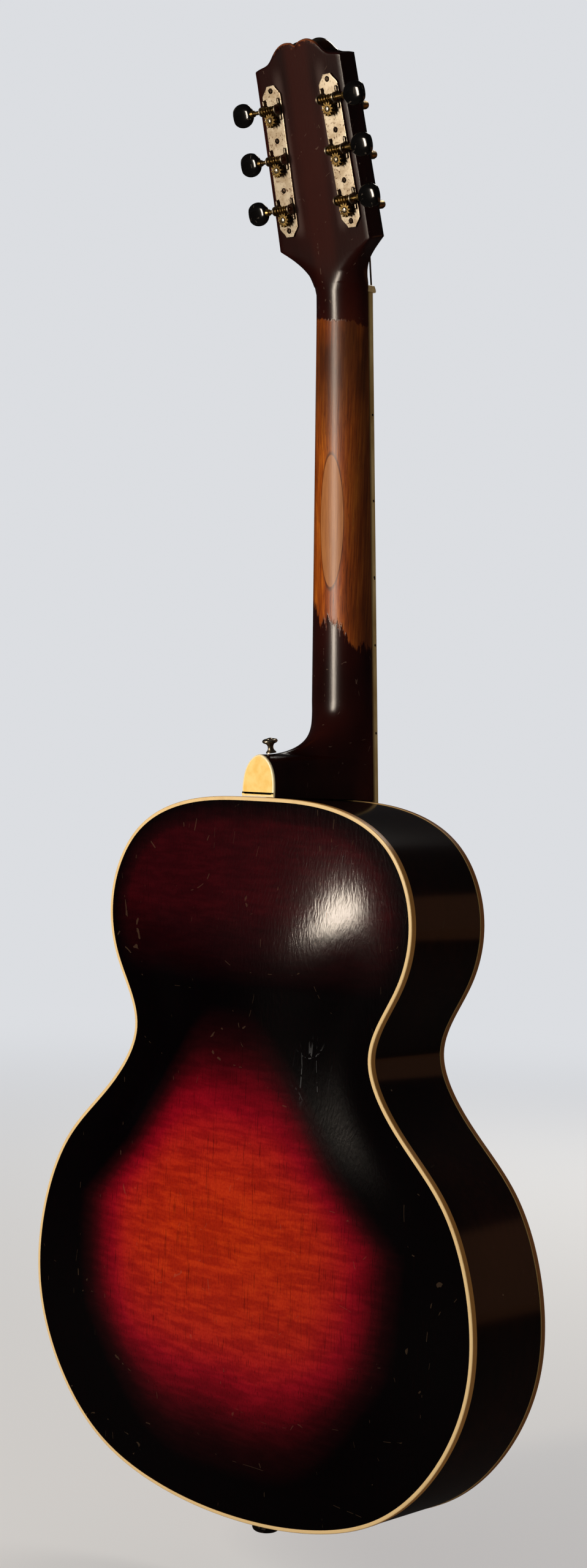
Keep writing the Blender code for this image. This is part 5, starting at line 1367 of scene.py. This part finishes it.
def top_y(x, z):
    """The top plate's outer face: the arch's height at the share of the way from the ledge to the ridge."""
    base = inset(outline, EDGE_LEDGE)
    x, d = np.broadcast_arrays(np.asarray(x, float), BODY_TOP_Z - np.asarray(z, float))
    ridge = np.stack([0 * d, np.clip(d, *TOP_SPINE)], -1)
    out = np.stack([x, d], -1) - ridge
    ray = base - ridge[..., None, :]
    far, reach = np.linalg.norm(out, axis=-1), np.linalg.norm(ray, axis=-1)
    facing = np.sum(ray * out[..., None, :], -1) / np.maximum(reach, 1e-6)
    best = np.argmax(facing / np.maximum(far, 1e-6)[..., None], -1)
    reach = np.take_along_axis(reach, best[..., None], -1)[..., 0]
    return FRONT_RIM_Y - TOP_ARCH * cosine_rise(1 - far / reach)


BASE_FRONT = float(top_y(0, BRIDGE_Z)) - 8.0


def base_grid():
    """The base from foot to foot: below it follows the arch, lifted 3 mm between the feet; its crest falls
    to the ends. A section is a rounded trapezium, 12 mm deep on the plate and 9 mm at the crest."""
    x = 72 * np.sin(np.linspace(-np.pi / 2, np.pi / 2, 61))
    low = np.min([top_y(x, BRIDGE_Z + step) for step in (-6, 6)], 0) - 0.4
    low -= 3.0 * np.clip((24 - np.abs(x)) / 5, 0, 1) ** 0.5
    end = np.abs(x) / 72
    crest = np.minimum(BASE_FRONT + 6.5 * np.maximum(0, (end - 0.6) / 0.4) ** 1.3, low - 2.0)
    pull = np.where(end > 0.985, 0.7, 0.0)
    half = [(3.0, 5.6), (0.9, 4.9), (0.15, 4.2), (0.0, 3.0)]
    over = half + [(rise, -dz) for rise, dz in half[::-1]]
    y = [low, low] + [np.minimum(crest + rise, low - 0.3) + pull for rise, _ in over]
    z = [BRIDGE_Z + np.sign(dz) * (abs(dz) - pull) for dz in [-6, 6] + [dz for _, dz in over]]
    return spread(x[:, None], np.stack(y, 1), np.stack(z, 1))


WHEEL_BACK, WHEEL_FRONT = BASE_FRONT - 1.5, BASE_FRONT - 4.0
SADDLE_BACK = WHEEL_FRONT - 0.3


def saddle_grid():
    """The saddle from end to end: its flat back on the wheels, its top following the strings' arc, -52.45 +
    x ** 2 / 610, and dropping beyond the outer strings; the crest steps up and down the neck to tune each
    string."""
    x = np.concatenate([[-56, -55.4], np.linspace(-54, 54, 109), [55.4, 56]])
    front = camber(x) - 52.45 + 5.0 * np.maximum(0, (np.abs(x) - 30) / 26) ** 1.5
    front = np.minimum(front, SADDLE_BACK - 5.0)
    step = np.interp(x, [-56, -25.5, -20.5, -20.3, -10.4, -10.2, -0.1, 0.1, 5.0, 5.2, 15.2, 15.4, 25.5, 56],
                     [-0.8, -0.9, -0.5, -0.5, 0.0, 0.0, 0.5, 0.5, 0.8, -0.3, 0.1, 0.3, 0.6, 0.6])
    step = np.where(np.abs(x) < 30, step, 0)
    tuck = np.where(np.abs(x) > 55.8, 0.6, np.where(np.abs(x) > 55, 0.2, 0.0))
    shoulder = SADDLE_BACK - 4.2
    flank = front * 0.4 + shoulder * 0.6
    columns = [(SADDLE_BACK, tuck - 4), (SADDLE_BACK, 4 - tuck), (shoulder, 3.9 - tuck), (flank, 2.9 - tuck),
               (front + 0.9, 1.6 + step * 0.7), (front + 0.1, 0.6 + step), (front, step),
               (front + 0.1, step - 0.6),
               (front + 0.9, step * 0.7 - 1.6), (flank, tuck - 2.9), (shoulder, tuck - 3.9)]
    return np.stack([spread(x, y + tuck * (k > 1) * 0.8, BRIDGE_Z + dz)
                     for k, (y, dz) in enumerate(columns)], 1)


def upright_rod(side, back, front, radii, sides):
    """A rod that stands on the bridge's centre line at a stud."""
    return rod_grid((side * STUD_X, back, BRIDGE_Z), (side * STUD_X, front, BRIDGE_Z), radii, sides)


fit(solid("bridge_base_feet", base_grid()), "guitar", "rosewood", rosewood, "bridge_base")
saddle = solid("bridge_saddle_stepped", saddle_grid(), sharp=30)
carve(saddle, *[solid("stud_bore", upright_rod(side, SADDLE_BACK + 3, SADDLE_BACK - 7.5, [2.2, 2.2], 24))
                for side in (-1, 1)])
fit(saddle, "saddle", "rosewood", rosewood, "bridge_saddle")


def stud_grid(side):
    """A threaded stud: radius 1.66 and 0.12 sin(2 pi y / 0.7) along its length."""
    y = np.linspace(BASE_FRONT + 0.5, SADDLE_BACK - 5.0, 121)
    return upright_rod(side, y[0], y[-1], 1.66 + 0.12 * np.sin(2 * np.pi * y / 0.7), 20)


fit(solid("bridge_studs", stud_grid(-1), stud_grid(1), sharp=60), "guitar", "aged_brass", brass)


def wheel_grid(side):
    """A thumbwheel: a ring with 40 knurls, radius 7.8 + 0.2 cos(40 angle), its edges rounded."""
    turn = full_turn(160)
    half = [(2.2, 0.0, 0), (6.9, 0.0, 0), (7.5, 0.15, 0.6), (7.8, 0.5, 1)]
    profile = [(r, WHEEL_BACK - y, knurl) for r, y, knurl in half]
    profile += [(r, WHEEL_FRONT + y, knurl) for r, y, knurl in half[::-1]]
    radius, y, knurl = np.array(profile).T[..., None]
    r = radius + 0.2 * knurl * np.cos(40 * turn)
    return spread(side * STUD_X + r * np.cos(turn), y, BRIDGE_Z + r * np.sin(turn))


for label, side in (("bass", -1), ("treble", 1)):
    wheel = solid("thumbwheel_knurled_" + label, wheel_grid(side), along=True, sharp=40)
    fit(wheel, "wheel_" + label, "aged_brass", brass, "thumbwheel_" + label)

# The pickguard: a sheet of tortoise celluloid that floats above the top on a bent nickel rod, screwed to the
# rib.
guard_loop = curve_through([(31.5, 79), (31.2, 160), (31.5, 240), (33, 256), (36, 263), (42, 266.2),
                            (58, 266.5),
                            (74.5, 266.5), (76.2, 272), (77, 284), (80, 296), (87.5, 301.5), (94, 293.5),
                            (99, 267),
                            (101.4, 224), (98.6, 190), (86, 158), (62, 118), (46, 92.5), (36, 79.5)], 5,
                            closed=True)
guard_flat = inset(guard_loop, [0, 0.1, 0.5, 1.3]).transpose(1, 0, 2)
guard_y = np.array([-34.6, -36.0, -36.6, -36.8])[:, None]
tortoise, shader = new_shader("tortoise_celluloid", Roughness=0.16, Coat_Weight=0.3)
here = spot(shader)
wander = field("ShaderNodeTexNoise", output="Color", Vector=here, Scale=70.0)
swirl = field("ShaderNodeVectorMath", {"operation": "ADD"}, _0=stretched(here, 90.0, 90.0, 130.0),
              _1=stretched(wander, 1.8, 1.8, 1.8))
swirl = noise(swirl, 1.0, 3.0, 0.55)
tint(shader, colours(swirl, (0.36, 18, 6, 4), (0.50, 58, 16, 8), (0.60, 128, 52, 18), (0.72, 184, 104, 40)))
bump(shader, swirl, 0.00003, 0.3)
guard = solid("pickguard_sheet", lying(guard_flat, guard_y), sharp=25)
fit(guard, "guitar", "tortoise_plastic", tortoise, "pickguard")
ROD_X, ROD_Z, ROD_TURN = 121.9, -543.1, np.radians(-33.5)
rod_path = curve_through([(122.6, 9, ROD_Z), (122.6, -6, ROD_Z), (122.5, -15, ROD_Z), (121, -23, ROD_Z),
                          (114, -29.8, ROD_Z), (104, -32.4, -544), (89, -32.4, -547)], 6)
foot_along, foot_y = curve_through([(-4.6, -1.6), (0, -2), (4.6, -1.6), (5, 6), (4.2, 12), (0, 13.8),
                                    (-4.2, 12),
                                    (-5, 6)], 4, closed=True).T
foot_across = np.array([-0.75, 0.75])[:, None]
c, s = np.cos(ROD_TURN), np.sin(ROD_TURN)
foot = spread(ROD_X + foot_across * c + foot_along * s, foot_y, ROD_Z - foot_across * s + foot_along * c)
plated(solid("pickguard_rod", tube_grid(rod_path, 1.5, 14, (0.0, 0.3, 1.0)), foot, sharp=40),
       "pickguard_bracket")
guard_screws = [{"base": (x, -36.75, z), "angle": np.pi / 2}
                for x, z in ((92.0, -546.5), (36.5, BODY_TOP_Z - 92.0))]
plated(slotted_screws("pickguard_screws", 2.0, guard_screws, (0.5, 1.9)))

# The strings: six steel wires, the lower four wound, from the posts over the nut and the saddle to the
# tailpiece, where a brass ball holds each one in the crossbar.
BALL = [(0.3, -2.0), (1.2, -1.9), (1.9, -1.1), (2.0, 0), (1.9, 1.1), (1.2, 1.9), (0.3, 2.0)]


def stretch_of_string(name, start, end, radius, count):
    """A straight wire of evenly spaced rings."""
    rows = np.linspace(0, 1, count)[:, None]
    return solid(name, tube_grid(start + (end - start) * rows, radius, 10), sharp=60)


balls = []
for k, radius in enumerate(STRING_RADII):
    name = "string_" + str(k + 1)
    side, machine = (-1, k) if k < 3 else (1, 5 - k)
    _, _, post_x, post_s = post_places[machine + (3 if side > 0 else 0)]
    nut_x, saddle_x = 35.5 * STRING_SIDES[k], 51.0 * STRING_SIDES[k]
    leave = on_head([post_x - side * (3.0 + radius), -22.4 - 1.5 * machine, post_s + WINDING_UP])
    at_nut = on_neck([nut_x, -8.0, 2.5])
    at_saddle = np.array([saddle_x, -53.4 + camber(saddle_x), BRIDGE_Z])
    tail_x, tail_y = saddle_x * 1.02, camber(saddle_x) * 0.4
    at_tail = on_tail([tail_x, tail_y, 134.0])
    behind = at_saddle + (at_tail - at_saddle) * 0.25
    fit(stretch_of_string(name + "_head", leave, at_nut, radius, 2), "guitar", "string_steel", steel, name)
    for part, first, second, start, end, count in (("_playing", "guitar", "saddle", at_nut, at_saddle, 65),
                                                   ("_behind_saddle", "saddle", "guitar", at_saddle, behind,
                                                    13),
                                                   ("_to_tailpiece", "guitar", "tailpiece", behind, at_tail,
                                                    25)):
        piece = stretch_of_string(name + part, start, end, radius, count)
        piece.data.materials.append(steel)
        tuple(start * MM)
        tuple(end * MM)
        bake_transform(piece)
    balls.append(lathe(BALL, (tail_x, tail_y, 118.2), 0.0, 20, on_tail))
fit(solid("string_balls", *balls, sharp=60), "tailpiece", "aged_brass", brass)
